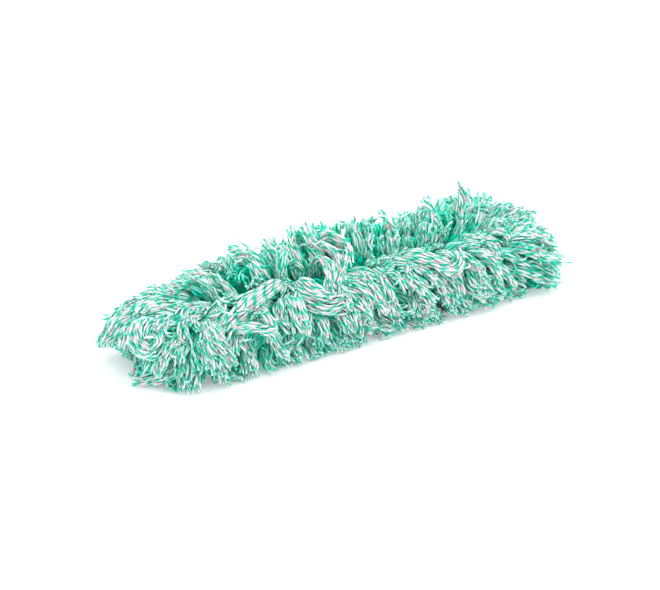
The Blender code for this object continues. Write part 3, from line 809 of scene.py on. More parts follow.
class PileBuilder:
    """Lays out the locks of yarn and turns them into one mesh for each CAD tuft."""

    def __init__(self, sleeve: SleeveFrame, finish: TwistedYarnFinish) -> None:
        """Keeps what the pile is fitted to.

        Args:
            sleeve: the sleeve's places and sizes.
            finish: the yarn's finish.
        """
        self.sleeve = sleeve
        self.finish = finish
        self.material = finish.build()
        self.plan = PilePlan()
        self.sizes = YarnSizes()
        self.chance = np.random.default_rng(7)
        self.locks: list[Lock] = []

    def profile(self, shape: RowShape, back_shape: RowShape, back: float) -> np.ndarray:
        """The four control points of a row's guide, as (outwards, up) in metres.

        Args:
            shape: the row's shape on the front side, or at the tip.
            back_shape: its shape on the back side.
            back: 0 for the first shape, 1 for the back's, or between them.

        Returns:
            An array of 4 by 2.
        """
        sleeve = self.sleeve
        curves = []
        for each in (shape, back_shape):
            scale = (sleeve.reach, float(sleeve.high[2]))
            curves.append([sleeve.root(each.root_angle), *(np.array(each.points) * scale)])
        first, rear = np.array(curves)
        return first * (1.0 - back) + rear * back

    @staticmethod
    def station(along: float, *names: str) -> list[float]:
        """Reads how the pile lies at a place along the sleeve.

        Args:
            along: the place, in metres.
            names: the stations' fields to read.

        Returns:
            Each field's value there.
        """
        places = [each.along * MM for each in STATIONS]
        return [float(np.interp(along, places, [getattr(e, n) for e in STATIONS])) for n in names]

    def fullness(self, along: float, back: float, curve: np.ndarray) -> np.ndarray:
        """Makes a guide as full as the pile is at its place along the sleeve.

        Args:
            along: the place, in metres.
            back: 0 on the front side, 1 on the back side, or between them.
            curve: control points, as (outwards, up).

        Returns:
            The fitted control points.
        """
        plan = self.plan
        rises = self.station(along, "front_rise", "back_rise")
        reaches = self.station(along, "front_reach", "back_reach")
        sides = (1.0 - back, back)
        rise = sum(s * r / usual for s, r, usual in zip(sides, rises, plan.usual_rise))
        reach = sum(s * r / usual for s, r, usual in zip(sides, reaches, plan.usual_reach))
        root = curve[0]
        above = np.maximum(curve[:, 1] - root[1], 0.0) * (rise - 1.0)
        return np.column_stack([root[0] + (curve[:, 0] - root[0]) * reach, curve[:, 1] + above])

    def lay_straight(self) -> None:
        """Lays the locks along the straight part, on both sides."""
        for side in Side:
            for row in range(len(FRONT_ROWS)):
                for number in range(self.plan.locks_along):
                    self.lay_straight_lock(side, row, number)

    def lay_straight_lock(self, side: Side, row: int, number: int) -> None:
        """Lays one lock of the straight part.

        Args:
            side: the side that it falls to.
            row: its row, counted from the parting line down to the middle of the underside.
            number: its place in the row, counted from the mouth.
        """
        sleeve, plan = self.sleeve, self.plan
        shape, back_shape = FRONT_ROWS[row], BACK_ROWS[row]
        shake = self.chance.uniform(-plan.jitter, plan.jitter)
        part = number + plan.first_gap + plan.row_stagger * (row % 2) + shake
        part = float(np.clip(part / plan.locks_along, 0.0, 1.0)) ** plan.mouth_crowding
        along = sleeve.start + (sleeve.tip_centre - sleeve.start) * part
        near = max(0.0, 1.0 - (along - sleeve.start) / plan.mouth_span)
        back = side.value * (1.0 - plan.mouth_evening * near)
        front_rise, back_rise, lean = self.station(along, "front_rise", "back_rise", "lean")
        turns = self.station(along, "front_turn", "back_turn", "low_turn")
        turn = turns[2] + (turns[int(side.value)] - turns[2]) * shape.loose**plan.turn_power
        for k, (angle, wave, shift) in enumerate(plan.sways):
            swing = 2 * math.pi * along / wave + shift * row + plan.side_shift * k * side.value
            turn += angle * math.sin(swing) * (1.0 - near)
        curve = self.fullness(along, back, self.profile(shape, back_shape, back))
        reach = plan.mouth_reach if shape.root_angle > 0.0 else plan.mouth_low_reach
        out = np.array([0.0, -1.0 if side is Side.FRONT else 1.0])
        prefix = "" if shape.band == "under" else side.name.lower() + "_"
        self.add_lock(
            f"{prefix}{shape.band}_tuft_{self.tuft_number(part, plan.tufts_along)}",
            curve,
            root=np.array([along, 0.0]) + out * curve[0, 0],
            way=self.turned(out, turn),
            loose=shape.loose * (1.0 - back) + back_shape.loose * back,
            stretch=1.0 + near * (reach / (curve[-1, 0] - curve[0, 0]) - 1.0),
            rise=(front_rise * (1.0 - back) + back_rise * back) * MM,
            lean=lean * back,
            forward=back_shape.forward * back,
        )

    @staticmethod
    def tuft_number(part: float, count: int) -> int:
        """Gives the tuft, from 1 to count, that holds the place at a share of their row."""
        return min(int(part * count), count - 1) + 1

    @staticmethod
    def turned(out: np.ndarray, degrees: float) -> np.ndarray:
        """Turns a way out of the sleeve towards the tip, or to the mouth if degrees is below 0."""
        turn = math.radians(degrees)
        return np.array([math.sin(turn), out[1] * math.cos(turn)])

    def lay_tip(self) -> None:
        """Lays the locks that fan out round the tip."""
        sleeve, plan = self.sleeve, self.plan
        first, last = self.station(sleeve.tip_centre, "front_turn", "back_turn")
        front_rise, back_rise = self.station(sleeve.tip_centre, "front_rise", "back_rise")
        for row, (shape, count) in enumerate(zip(TIP_ROWS, plan.tip_locks)):
            for i in range(count):
                part = (i + 0.5 + self.chance.uniform(-plan.jitter, plan.jitter)) / count
                turn = math.radians(first + (180.0 - first - last) * part)
                node = f"tip_{shape.band}_tuft"
                if shape.band in ("shoulder", "skirt"):
                    node += f"_{self.tuft_number(part, plan.tip_tufts)}"
                way = np.array([math.sin(turn), -math.cos(turn)])
                back = plan.tip_back_share * max(0.0, -math.cos(turn))
                curve = self.profile(shape, BACK_ROWS[row], back)
                ends = (abs(math.sin(turn)) / sleeve.tip_stretch, abs(math.cos(turn)))
                share = (1.0 - math.cos(turn)) / 2
                self.add_lock(
                    node,
                    curve,
                    root=np.array([sleeve.tip_centre, 0.0]) + way * curve[0, 0],
                    way=way,
                    loose=shape.loose,
                    stretch=sum(end**plan.tip_roundness for end in ends) ** (-1 / plan.tip_roundness),
                    rise=(front_rise * (1.0 - share) + back_rise * share) * MM,
                    point=plan.tip_point,
                )

    def add_lock(
        self,
        node: str,
        curve: np.ndarray,
        root: np.ndarray,
        way: np.ndarray,
        loose: float,
        stretch: float,
        rise: float,
        lean: float = 0.0,
        forward: float = 0.0,
        point: float = 1.0,
    ) -> None:
        """Adds one lock, a little different from its neighbours.

        Args:
            node: the CAD tuft that it belongs to.
            curve: its control points, as (outwards, up).
            root: the plan place of its root.
            way: the plan direction in which it falls.
            loose: how freely it lies, as in RowShape.
            stretch: how much further it reaches than at the sides.
            rise: how far it may stand above the pocket's middle.
            lean: how far it leans towards the tip as it rises, as a slope.
            forward: the chance that a curl tumbles back over the lock's own root.
            point: its width at the ends, as a share of a usual lock's.
        """
        plan, chance = self.plan, self.chance
        least, most = plan.turn_spread
        spin = math.radians(chance.normal(0.0, least + (most - least) * loose))
        cosine, sine = math.cos(spin), math.sin(spin)
        way = np.array([way[0] * cosine - way[1] * sine, way[0] * sine + way[1] * cosine])
        cut, longest = plan.length_spread
        cut = cut * loose * chance.random() ** plan.cut_power
        length = longest - cut - plan.ragged * chance.random()
        out = (curve[:, 0] - curve[0, 0]) * stretch * length
        up = curve[0, 1] + (curve[:, 1] - curve[0, 1]) * length
        up = up + chance.normal(0.0, plan.lift_spread) * np.array(plan.lift_bend) * loose
        ahead = root[0] + out * way[0] + lean * np.maximum(up - up[0], 0.0)
        guide = self.bezier(np.column_stack([ahead, root[1] + out * way[1], up]))
        curled = chance.random() < plan.curled_share * loose
        curl = chance.uniform(*(plan.strong_curl if curled else plan.mild_curl))
        curl_way = chance.uniform(-math.pi, math.pi)
        if chance.random() < forward:
            curl_way = math.pi + curl_way / plan.tumble_focus
        lock = Lock(
            node=node,
            guide=guide,
            aside=np.array([-way[1], way[0], 0.0]),
            rise=rise,
            width=chance.uniform(*plan.width),
            depth=chance.uniform(*plan.depth),
            yarns=int(chance.integers(*plan.yarns)),
            flare=chance.uniform(*plan.flare) * point,
            twist=chance.normal(0.0, plan.twist_spread),
            curl=curl,
            curl_way=curl_way,
            curl_start=chance.uniform(*plan.curl_start),
        )
        self.locks.append(lock)

    @staticmethod
    def bezier(points: np.ndarray, samples: int = 41) -> np.ndarray:
        """Samples the curve that four control points pull into shape.

        Args:
            points: the control points.
            samples: how many points to return.

        Returns:
            Points along the curve.
        """
        s = np.linspace(0.0, 1.0, samples)[:, None]
        r = 1.0 - s
        p0, p1, p2, p3 = points
        return r**3 * p0 + 3 * r**2 * s * p1 + 3 * r * s**2 * p2 + s**3 * p3

    @staticmethod
    def smooth_line(points: np.ndarray, samples: int = 41) -> np.ndarray:
        """Samples a smooth curve through every point.

        Args:
            points: the points, in order.
            samples: how many points to return.

        Returns:
            Points along the curve.
        """
        before, after = 2 * points[:1] - points[1:2], 2 * points[-1:] - points[-2:-1]
        padded = np.concatenate([before, points, after])
        place = np.linspace(0.0, len(points) - 1.0, samples)
        index = np.minimum(place.astype(int), len(points) - 2)
        t = (place - index)[:, None]
        a, b, c, d = (padded[index + k] for k in range(4))
        square = (2 * a - 5 * b + 4 * c - d) * t**2
        cube = (3 * b - a - 3 * c + d) * t**3
        return 0.5 * (2 * b + (c - a) * t + square + cube)

    def lay_tresses(self) -> None:
        """Lays the locks that have a place of their own."""
        for tress in TRESSES:
            guide = self.smooth_line(np.array(tress.points) * MM)
            fall = guide[-1] - guide[0]
            lock = Lock(
                node=tress.node,
                guide=guide,
                aside=np.array([-fall[1], fall[0], 0.0]),
                rise=0.0,
                width=tress.width * MM,
                depth=tress.depth * MM,
                yarns=int(tress.yarns * self.plan.tress_fill),
                flare=tress.flare,
                curl=tress.curl,
                curl_way=tress.curl_way,
            )
            self.locks.append(lock)

    def guide_line(self, lock: Lock) -> tuple[np.ndarray, np.ndarray, np.ndarray]:
        """Samples a lock's guide evenly, curls its end and carries its flat side along it.

        Args:
            lock: the lock.

        Returns:
            The points of the line, and at each the way it is wide and the way it is thick.
        """
        line = lock.guide
        samples = len(line)
        travel = np.concatenate([[0.0], np.cumsum(np.linalg.norm(np.diff(line, axis=0), axis=1))])
        even = np.linspace(0.0, travel[-1], samples)
        line = np.column_stack([np.interp(even, travel, line[:, k]) for k in range(3)])
        steps = np.diff(line, axis=0)
        wide = unit(lock.aside)
        bend_at = int(lock.curl_start * (samples - 1))
        ahead = unit(steps[bend_at])
        across = unit(wide - (wide @ ahead) * ahead)
        axis = math.cos(lock.curl_way) * across + math.sin(lock.curl_way) * np.cross(ahead, across)
        place = np.linspace(0.0, 1.0, samples - 1)
        bent = np.clip((place - lock.curl_start) / (1.0 - lock.curl_start), 0.0, 1.0)
        steps = self.rotated(steps, axis, lock.curl * bent**self.plan.curl_power)
        line = np.concatenate([line[:1], line[:1] + np.cumsum(steps, axis=0)])
        tangents = unit(np.gradient(line, axis=0))
        wides = np.empty_like(line)
        for k, ahead in enumerate(tangents):
            wide = unit(wide - (wide @ ahead) * ahead)
            wides[k] = wide
        thicks = np.cross(tangents, wides)
        turn = (lock.twist * np.linspace(0.0, 1.0, samples) ** self.plan.twist_power)[:, None]
        return (
            line,
            wides * np.cos(turn) + thicks * np.sin(turn),
            thicks * np.cos(turn) - wides * np.sin(turn),
        )

    @staticmethod
    def rotated(steps: np.ndarray, axis: np.ndarray, turn: np.ndarray) -> np.ndarray:
        """Turns vectors about an axis.

        Args:
            steps: the vectors, whose last axis is x, y, z.
            axis: the axis, or one for each vector.
            turn: the angle of each, in radians.

        Returns:
            The turned vectors.
        """
        cosine, sine = np.cos(turn)[..., None], np.sin(turn)[..., None]
        axes = np.broadcast_to(axis, steps.shape)
        along = (axes * steps).sum(-1, keepdims=True) * axes
        return steps * cosine + np.cross(axes, steps) * sine + along * (1.0 - cosine)

    def yarn_paths(self, lock: Lock) -> np.ndarray:
        """Runs a lock's yarns beside its guide.

        Args:
            lock: the lock.

        Returns:
            Each yarn's points, as yarns by rings by 3.
        """
        sizes, chance, count = self.sizes, self.chance, lock.yarns
        line, wides, thicks = self.guide_line(lock)
        cut_back = (sizes.longest - sizes.shortest) * chance.random(count) ** 2
        ends = (sizes.longest - cut_back)[:, None]
        even = np.linspace(0.0, 1.0, sizes.rings)[None, :]
        share = even * ends
        place = share * (len(line) - 1)
        index = np.minimum(place.astype(int), len(line) - 2)
        part = (place - index)[..., None]
        middle, wide, thick = (
            rows[index] * (1.0 - part) + rows[index + 1] * part for rows in (line, wides, thicks)
        )
        number = np.arange(count)
        ring = np.sqrt((number + 0.5) / count)
        turn = number * GOLDEN_ANGLE + chance.uniform(0.0, 2 * math.pi)
        spread = sizes.gather + (1.0 - sizes.gather) * smooth_step(share, *sizes.gather_span)
        spread = spread + (lock.flare - 1.0) * smooth_step(share, *sizes.flare_span)
        wave = chance.uniform(*sizes.wobble_waves, (count, 1)) * 2 * math.pi * share
        shift = chance.uniform(0.0, 2 * math.pi, (count, 2))
        rock = sizes.wobble * smooth_step(share, *sizes.wobble_span)
        stray = chance.normal(0.0, 1.0, (count, 2))
        stray = np.clip(stray, -sizes.stray_limit, sizes.stray_limit) * sizes.stray
        loose = smooth_step(share, *sizes.stray_span)
        across = (ring * np.cos(turn) * lock.width / 2)[:, None] * spread
        across += rock * np.sin(wave + shift[:, :1]) + stray[:, :1] * loose
        over = (ring * np.sin(turn) * lock.depth / 2)[:, None] * spread
        over += rock * np.sin(wave + shift[:, 1:]) + stray[:, 1:] * loose
        paths = middle + across[..., None] * wide + over[..., None] * thick
        paths = self.curl_ends(paths)
        lift = sizes.floor_lift + chance.uniform(0.0, sizes.floor_scatter, (count, 1))
        paths[..., 2] = np.maximum(paths[..., 2], lift)
        return self.trim(paths, lock.rise)

    def curl_ends(self, paths: np.ndarray) -> np.ndarray:
        """Curls the free end of each yarn a little, and of some a lot.

        Args:
            paths: the yarns' points.

        Returns:
            The yarns' points with curled ends.
        """
        sizes, chance = self.sizes, self.chance
        count, rings = paths.shape[:2]
        steps = np.diff(paths, axis=1)
        axis = unit(chance.normal(0.0, 1.0, (count, 3)))[:, None, :]
        curls = chance.random(count) < sizes.curled_share
        strong = chance.uniform(*sizes.strong_curl, count)
        mild = chance.uniform(*sizes.mild_curl, count)
        place = np.linspace(0.0, 1.0, rings - 1)[None, :]
        bent = np.clip((place - sizes.curl_start) / (1.0 - sizes.curl_start), 0.0, 1.0)
        turn = np.where(curls, strong, mild)[:, None] * bent**sizes.curl_power
        turned = self.rotated(steps, axis, turn)
        return np.concatenate([paths[:, :1], paths[:, :1] + np.cumsum(turned, axis=1)], axis=1)

    def trim(self, paths: np.ndarray, rise: float) -> np.ndarray:
        """Cuts yarns off where they stand out of the pile, as its maker's shears do.

        Args:
            paths: the yarns' points.
            rise: how far they may stand above the pocket's middle, or 0 for a lock that is
                only kept within the whole pile.

        Returns:
            The yarns' points, spread anew along what is left of each.
        """
        sleeve, plan = self.sleeve, self.plan
        count, rings = paths.shape[:2]
        margin = (sleeve.high - sleeve.low) * plan.box_share + plan.box_proud
        outside = ((paths < sleeve.low - margin) | (paths > sleeve.high + margin)).any(-1)
        if rise:
            outside |= self.stands_out(paths, rise)
        # the cut falls half a ring before the first point outside
        last = np.where(outside.any(1), outside.argmax(1) - 0.5, rings - 1)
        last = np.maximum(last, self.sizes.fewest_rings)[:, None]
        place = np.linspace(0.0, 1.0, rings)[None, :] * last
        index = np.minimum(place.astype(int), rings - 2)
        part = (place - index)[..., None]
        rows = np.arange(count)[:, None]
        return paths[rows, index] * (1.0 - part) + paths[rows, index + 1] * part

    def stands_out(self, paths: np.ndarray, rise: float) -> np.ndarray:
        """Finds the points that lie outside the pile's rounded form.

        Args:
            paths: the yarns' points.
            rise: how far they may stand above the pocket's middle.

        Returns:
            True for each point that lies outside.
        """
        sleeve, plan = self.sleeve, self.plan
        places = [each.along * MM for each in STATIONS]
        front, back = (
            np.interp(paths[..., 0], places, [getattr(each, name) * MM for each in STATIONS])
            for name in ("front_reach", "back_reach")
        )
        below = np.clip((sleeve.mid_height - paths[..., 2]) / sleeve.mid_height, 0.0, 1.0)
        reach = np.where(paths[..., 1] < 0.0, front, back) * (1.0 - plan.floor_taper * below**2)
        before = np.maximum(sleeve.start - paths[..., 0], 0.0)
        before /= sleeve.start - sleeve.low[0] + plan.mouth_proud
        beyond = np.maximum(paths[..., 0] - sleeve.tip_centre, 0.0)
        beyond /= sleeve.high[0] - sleeve.tip_centre + plan.tip_proud
        power = plan.pile_roundness
        around = np.abs(paths[..., 1] / reach) ** power + before**power + beyond**power
        around = around ** (1 / power)
        height = np.maximum(paths[..., 2] - sleeve.mid_height, 0.0) / rise
        proud = 1.0 + self.chance.uniform(*plan.proud, (len(paths), 1))
        return np.hypot(around, height) > proud

    def depth_in_pile(self, paths: np.ndarray) -> np.ndarray:
        """How deep each yarn lies below the outside of the pile.

        Args:
            paths: every yarn's points.

        Returns:
            A depth for each yarn, in metres, over its outer half.
        """
        sleeve, plan = self.sleeve, self.plan
        outer = paths[:, paths.shape[1] // 2 :]
        nearest = np.clip(outer[..., 0], sleeve.start, sleeve.tip_centre)
        ahead, side = outer[..., 0] - nearest, outer[..., 1]
        rise = outer[..., 2] - sleeve.mid_height
        flat = np.hypot(ahead, side)
        radius = np.hypot(flat, rise)
        slots_round = round(360.0 / plan.cell_round) + 1
        slots_up = round(180.0 / plan.cell_up) + 1
        turn = np.arctan2(side, ahead) + math.pi
        climb = np.arctan2(rise, flat) + math.pi / 2
        slot_along = ((nearest - sleeve.start) / plan.cell_length).astype(int)
        slot_round = (turn / math.radians(plan.cell_round)).astype(int)
        slot_up = (climb / math.radians(plan.cell_up)).astype(int)
        cell = (slot_along * slots_round + slot_round) * slots_up + slot_up
        flat_cell, flat_radius = cell.ravel(), radius.ravel()
        count = np.maximum(np.bincount(flat_cell), 1)
        mean = np.bincount(flat_cell, flat_radius) / count
        square = np.bincount(flat_cell, flat_radius**2) / count
        spread = np.sqrt(np.maximum(square - mean**2, 0.0))
        edge = mean + plan.surface_spread * spread
        return np.maximum(edge[cell] - radius, 0.0).mean(1)

    def build(self) -> None:
        """Builds every tuft and lets it stand for its CAD node."""
        self.lay_straight()
        self.lay_tip()
        self.lay_tresses()
        paths = [self.yarn_paths(lock) for lock in self.locks]
        owner = np.repeat([lock.node for lock in self.locks], [len(p) for p in paths])
        together = np.concatenate(paths)
        # painted shade: the deeper a yarn lies, the later its column, whose colour the finish darkens
        # and greens
        depth = self.depth_in_pile(together) / self.plan.deepest
        last = self.finish.columns - 1
        steps = last * depth + self.chance.uniform(*self.plan.column_scatter, len(depth))
        column = np.clip(steps.round(), 0, last).astype(int)
        for node in dict.fromkeys(owner.tolist()):
            mine = owner == node
            piece = self.sweep(f"{node}_yarn", together[mine], column[mine])
            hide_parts(node)
            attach(piece, BODY)
            log.info("%s: %d yarns", piece.name, int(mine.sum()))

    def sweep(self, name: str, paths: np.ndarray, column: np.ndarray) -> bpy.types.Object:
        """Sweeps a round section along each yarn, with closed ends.

        Args:
            name: the new piece's name.
            paths: the yarns' points, as yarns by rings by 3.
            column: each yarn's column of the finish.

        Returns:
            The new object.
        """
        sizes = self.sizes
        count, rings = paths.shape[:2]
        tangents = unit(np.gradient(paths, axis=1))
        normal = unit(np.cross(tangents[:, 0], self.chance.normal(0.0, 1.0, (count, 3))))
        normals = np.empty_like(paths)
        for k in range(rings):
            ahead = tangents[:, k]
            normal = unit(normal - (normal * ahead).sum(-1, keepdims=True) * ahead)
            normals[:, k] = normal
        binormals = np.cross(tangents, normals)
        taper = np.ones(rings)
        taper[0], taper[-1] = sizes.root_share, sizes.end_share
        girth = self.chance.uniform(*sizes.girth, count)
        radii = (girth[:, None] * taper[None, :] * sizes.radius)[..., None, None]
        turn = 2 * math.pi * np.arange(sizes.sides) / sizes.sides
        circle = (
            np.cos(turn)[:, None] * normals[..., None, :]
            + np.sin(turn)[:, None] * binormals[..., None, :]
        )
        body = (paths[..., None, :] + radii * circle).reshape(count, -1, 3)
        dome = tangents * sizes.radius * sizes.dome
        foot, head = paths[:, :1] - dome[:, :1], paths[:, -1:] + dome[:, -1:]
        lengths = np.linalg.norm(np.diff(paths, axis=1), axis=-1)
        travel = np.concatenate([np.zeros((count, 1)), np.cumsum(lengths, axis=1)], axis=1)
        travel += self.chance.uniform(0.0, self.finish.pitch, (count, 1))
        return self.make_mesh(name, np.concatenate([body, foot, head], axis=1), travel, column)

    def make_mesh(
        self, name: str, verts: np.ndarray, travel: np.ndarray, column: np.ndarray
    ) -> bpy.types.Object:
        """Turns the swept yarns into one mesh with its UV map.

        Args:
            name: the new piece's name.
            verts: each yarn's vertices: its rings one after another, then its two end points.
            travel: each yarn's length so far, at each ring.
            column: each yarn's column of the finish.

        Returns:
            The new object.
        """
        finish, sides, rings = self.finish, self.sizes.sides, self.sizes.rings
        count, per_yarn = verts.shape[:2]
        ring, side = np.meshgrid(np.arange(rings - 1), np.arange(sides), indexing="ij")
        ahead = (side + 1) % sides
        low, high = ring * sides, (ring + 1) * sides
        quads = np.stack([low + side, low + ahead, high + ahead, high + side], -1)
        edge, after = side[0], ahead[0]
        foot_point, head_point = np.full(sides, rings * sides), np.full(sides, rings * sides + 1)
        last = (rings - 1) * sides
        feet = np.stack([foot_point, after, edge], -1)
        heads = np.stack([head_point, last + edge, last + after], -1)
        corners = np.concatenate([quads.ravel(), feet.ravel(), heads.ravel()])
        turns = np.concatenate(
            [
                np.stack([side, side + 1, side + 1, side], -1).ravel(),
                np.stack([edge + 0.5, edge + 1, edge], -1).ravel(),
                np.stack([edge + 0.5, edge, edge + 1], -1).ravel(),
            ]
        ) / sides
        ring_of = np.concatenate(
            [
                np.stack([ring, ring, ring + 1, ring + 1], -1).ravel(),
                np.zeros(3 * sides, int),
                np.full(3 * sides, rings - 1),
            ]
        )
        face_sizes = np.concatenate([np.full(quads.size // 4, 4), np.full(2 * sides, 3)])
        all_corners = (corners[None, :] + per_yarn * np.arange(count)[:, None]).ravel()
        all_sizes = np.tile(face_sizes, count)
        mesh = bpy.data.meshes.new(name)
        mesh.vertices.add(count * per_yarn)
        mesh.vertices.foreach_set("co", verts.astype(np.float32).ravel())
        mesh.loops.add(len(all_corners))
        mesh.loops.foreach_set("vertex_index", all_corners.astype(np.int32))
        mesh.polygons.add(len(all_sizes))
        starts = np.concatenate([[0], np.cumsum(all_sizes)[:-1]])
        mesh.polygons.foreach_set("loop_start", starts.astype(np.int32))
        mesh.polygons.foreach_set("use_smooth", np.ones(len(all_sizes), bool))
        mesh.update(calc_edges=True)
        margin = self.sizes.column_margin
        u = (column[:, None] + turns[None, :] * (1 - 2 * margin) + margin) / finish.columns
        v = travel[:, ring_of] / finish.full_length
        layer = mesh.uv_layers.new(name=UV_NAME)
        layer.data.foreach_set("uv", np.stack([u, v], -1).astype(np.float32).ravel())
        mesh.validate()
        mesh.materials.append(self.material)
        piece = bpy.data.objects.new(name, mesh)
        bpy.context.scene.collection.objects.link(piece)
        return piece


@dataclass(frozen=True)
class ClothCut:
    """One piece of the pocket's cloth: where it is and what it was cut from.

    Args:
        node: the CAD node that it stands for.
        slot: the record's material slot.
        flat: the width and length that it was cut to in metres, or None for thread and for tape
        that goes with another piece. Not used.
        rests_on: the nodes whose cloth it lies on. Not used.
        with_nodes: the nodes whose pieces go with it. Not used.
        area: its flat area in square metres, where the cut isn't a rectangle. Not used.
    """

    node: str
    slot: str
    flat: tuple[float, float] | None = None
    held: str = "laid"
    rests_on: tuple[str, ...] = ()
    with_nodes: tuple[str, ...] = ()
    area: float | None = None


CUTS = (
    ClothCut("crest_stitching", "thread"),
    ClothCut("under_stitching", "thread"),
    ClothCut("hem_thread_outer", "thread"),
    ClothCut("hem_thread_inner", "thread"),
    ClothCut("crest_tape", "tape"),
    ClothCut("under_tape", "tape"),
    ClothCut(
        "lower_panel",
        "canvas",
        (0.086, 0.465),
        with_nodes=("under_tape", "under_stitching"),
        area=0.0392,
    ),
    ClothCut(
        "upper_panel",
        "canvas",
        (0.086, 0.465),
        rests_on=("lower_panel",),
        with_nodes=("crest_tape", "crest_stitching"),
        area=0.0392,
    ),
    ClothCut("front_binding", "tape", (0.016, 0.400), "folded", ("upper_panel", "lower_panel")),
    ClothCut("back_binding", "tape", (0.016, 0.400), "folded", ("upper_panel", "lower_panel")),
    ClothCut("tip_binding", "tape", (0.016, 0.120), "folded", ("upper_panel", "lower_panel")),
    ClothCut("mouth_elastic", "elastic", (0.010, 0.170), "stretched", ("upper_panel", "lower_panel")),
    ClothCut(
        "mouth_hem",
        "tape",
        (0.014, 0.172),
        "gathered",
        ("mouth_elastic",),
        ("hem_thread_outer", "hem_thread_inner"),
    ),
)


@dataclass
class PocketCloth:
    """The pocket's cloth, tape, elastic and thread, gathered at the mouth and a little slack."""

    sleeve: SleeveFrame
    gather_length: float = 34.0 * MM
    gather_depth: float = 0.7 * MM
    gathers: int = 26
    mouth_step: float = 2.5 * MM
    side_step: float = 1.8 * MM
    long_step: float = 10.0 * MM
    ripple: float = 0.6 * MM
    ripple_length: float = 57.0 * MM
    ripple_skew: float = 1.3
    weld: float = 0.001 * MM
    crease: float = 50.0

    def build(self) -> None:
        """Makes each piece of cloth and lets it stand for its CAD node."""
        finishes = {
            # polyester canvas: fine plain weave, matt
            "canvas": WovenFinish("polyester_canvas", "12795e", "0a4f3d", 0.8 * MM).build(),
            # cotton tape: thicker threads, off-white
            "tape": WovenFinish("cotton_tape", "e4e9e5", "b9cac3", 0.7 * MM).build(),
            # woven elastic: ribs along the band, with a slight shine
            "elastic": WovenFinish("woven_elastic", "dcdfdc", "a9b1ac", 1.2 * MM, 0.7).build(),
            # sewing thread: spun polyester, slight shine
            "thread": WovenFinish("sewing_thread", "18a27c", "0c6f54", 0.4 * MM, 0.6).build(),
        }
        for cut in CUTS:
            piece = self.cut_from(cut.node)
            piece.data.materials.clear()
            piece.data.materials.append(finishes[cut.slot])
            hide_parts(cut.node)
            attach(piece, BODY)
            log.info("%s: %d faces", piece.name, len(piece.data.polygons))

    def cut_from(self, node: str) -> bpy.types.Object:
        """Copies a CAD node's form, cuts it finely enough to bend, and lets it hang slack.

        Args:
            node: the CAD node.

        Returns:
            The new piece.
        """
        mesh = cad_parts[node].data.copy()
        mesh.name = f"{node}_cloth"
        piece = bpy.data.objects.new(mesh.name, mesh)
        bpy.context.scene.collection.objects.link(piece)
        bpy.ops.object.select_all(action="DESELECT")
        piece.select_set(True)
        bpy.context.view_layer.objects.active = piece
        bpy.ops.object.mode_set(mode="EDIT")
        bpy.ops.mesh.select_all(action="SELECT")
        bpy.ops.mesh.remove_doubles(threshold=self.weld)
        low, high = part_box(node)
        mouth = self.sleeve.start + self.gather_length
        self.slice_mesh(0, low.x, high.x, self.long_step)
        if low.x < mouth:
            self.slice_mesh(0, low.x, min(high.x, mouth), self.mouth_step)
            self.slice_mesh(1, low.y, high.y, self.side_step)
            self.slice_mesh(2, low.z, high.z, self.side_step)
        bpy.ops.object.mode_set(mode="OBJECT")
        self.let_slack(mesh)
        bpy.ops.object.shade_smooth_by_angle(angle=math.radians(self.crease))
        piece.select_set(False)
        return piece

    @staticmethod
    def slice_mesh(axis: int, low: float, high: float, step: float) -> None:
        """Cuts the mesh in edit mode by even planes.

        Args:
            axis: the planes' axis, from 0 to 2.
            low: where the first gap starts.
            high: where the last gap ends.
            step: the widest gap.
        """
        gaps = max(1, math.ceil((high - low) / step))
        normal = [0.0, 0.0, 0.0]
        normal[axis] = 1.0
        for k in range(1, gaps):
            place = [0.0, 0.0, 0.0]
            place[axis] = low + (high - low) * k / gaps
            bpy.ops.mesh.select_all(action="SELECT")
            bpy.ops.mesh.bisect(plane_co=place, plane_no=normal)

    def let_slack(self, mesh: bpy.types.Mesh) -> None:
        """Moves cloth as the elastic gathers it and as it ripples where it lies slack.

        Args:
            mesh: the mesh, whose vertices are moved.
        """
        sleeve = self.sleeve
        points = np.empty(len(mesh.vertices) * 3)
        mesh.vertices.foreach_get("co", points)
        points = points.reshape(-1, 3)
        side = points[:, 1] / sleeve.pocket_half_width
        rise = (points[:, 2] - sleeve.mid_height) / sleeve.pocket_half_height
        away = unit(
            np.column_stack(
                [np.zeros(len(points)), np.sign(side) * side**2, np.sign(rise) * rise**2]
            )
        )
        turn = np.arctan2(rise, side)
        near = 1.0 - smooth_step(points[:, 0], sleeve.start, sleeve.start + self.gather_length)
        gather = self.gather_depth * near * np.sin(self.gathers * turn)
        skew = self.ripple_skew * side
        wave = np.sin(2 * math.pi * points[:, 0] / self.ripple_length + skew)
        slack = self.ripple * wave * (1.0 - near) * np.clip(1.0 - side**2, 0.0, 1.0)
        last = sleeve.tip_centre - self.gather_length
        beyond = smooth_step(points[:, 0], last, sleeve.tip_centre)
        points += away * gather[:, None]
        points[:, 2] += slack * (1.0 - beyond)
        mesh.vertices.foreach_set("co", points.ravel())
        mesh.update()


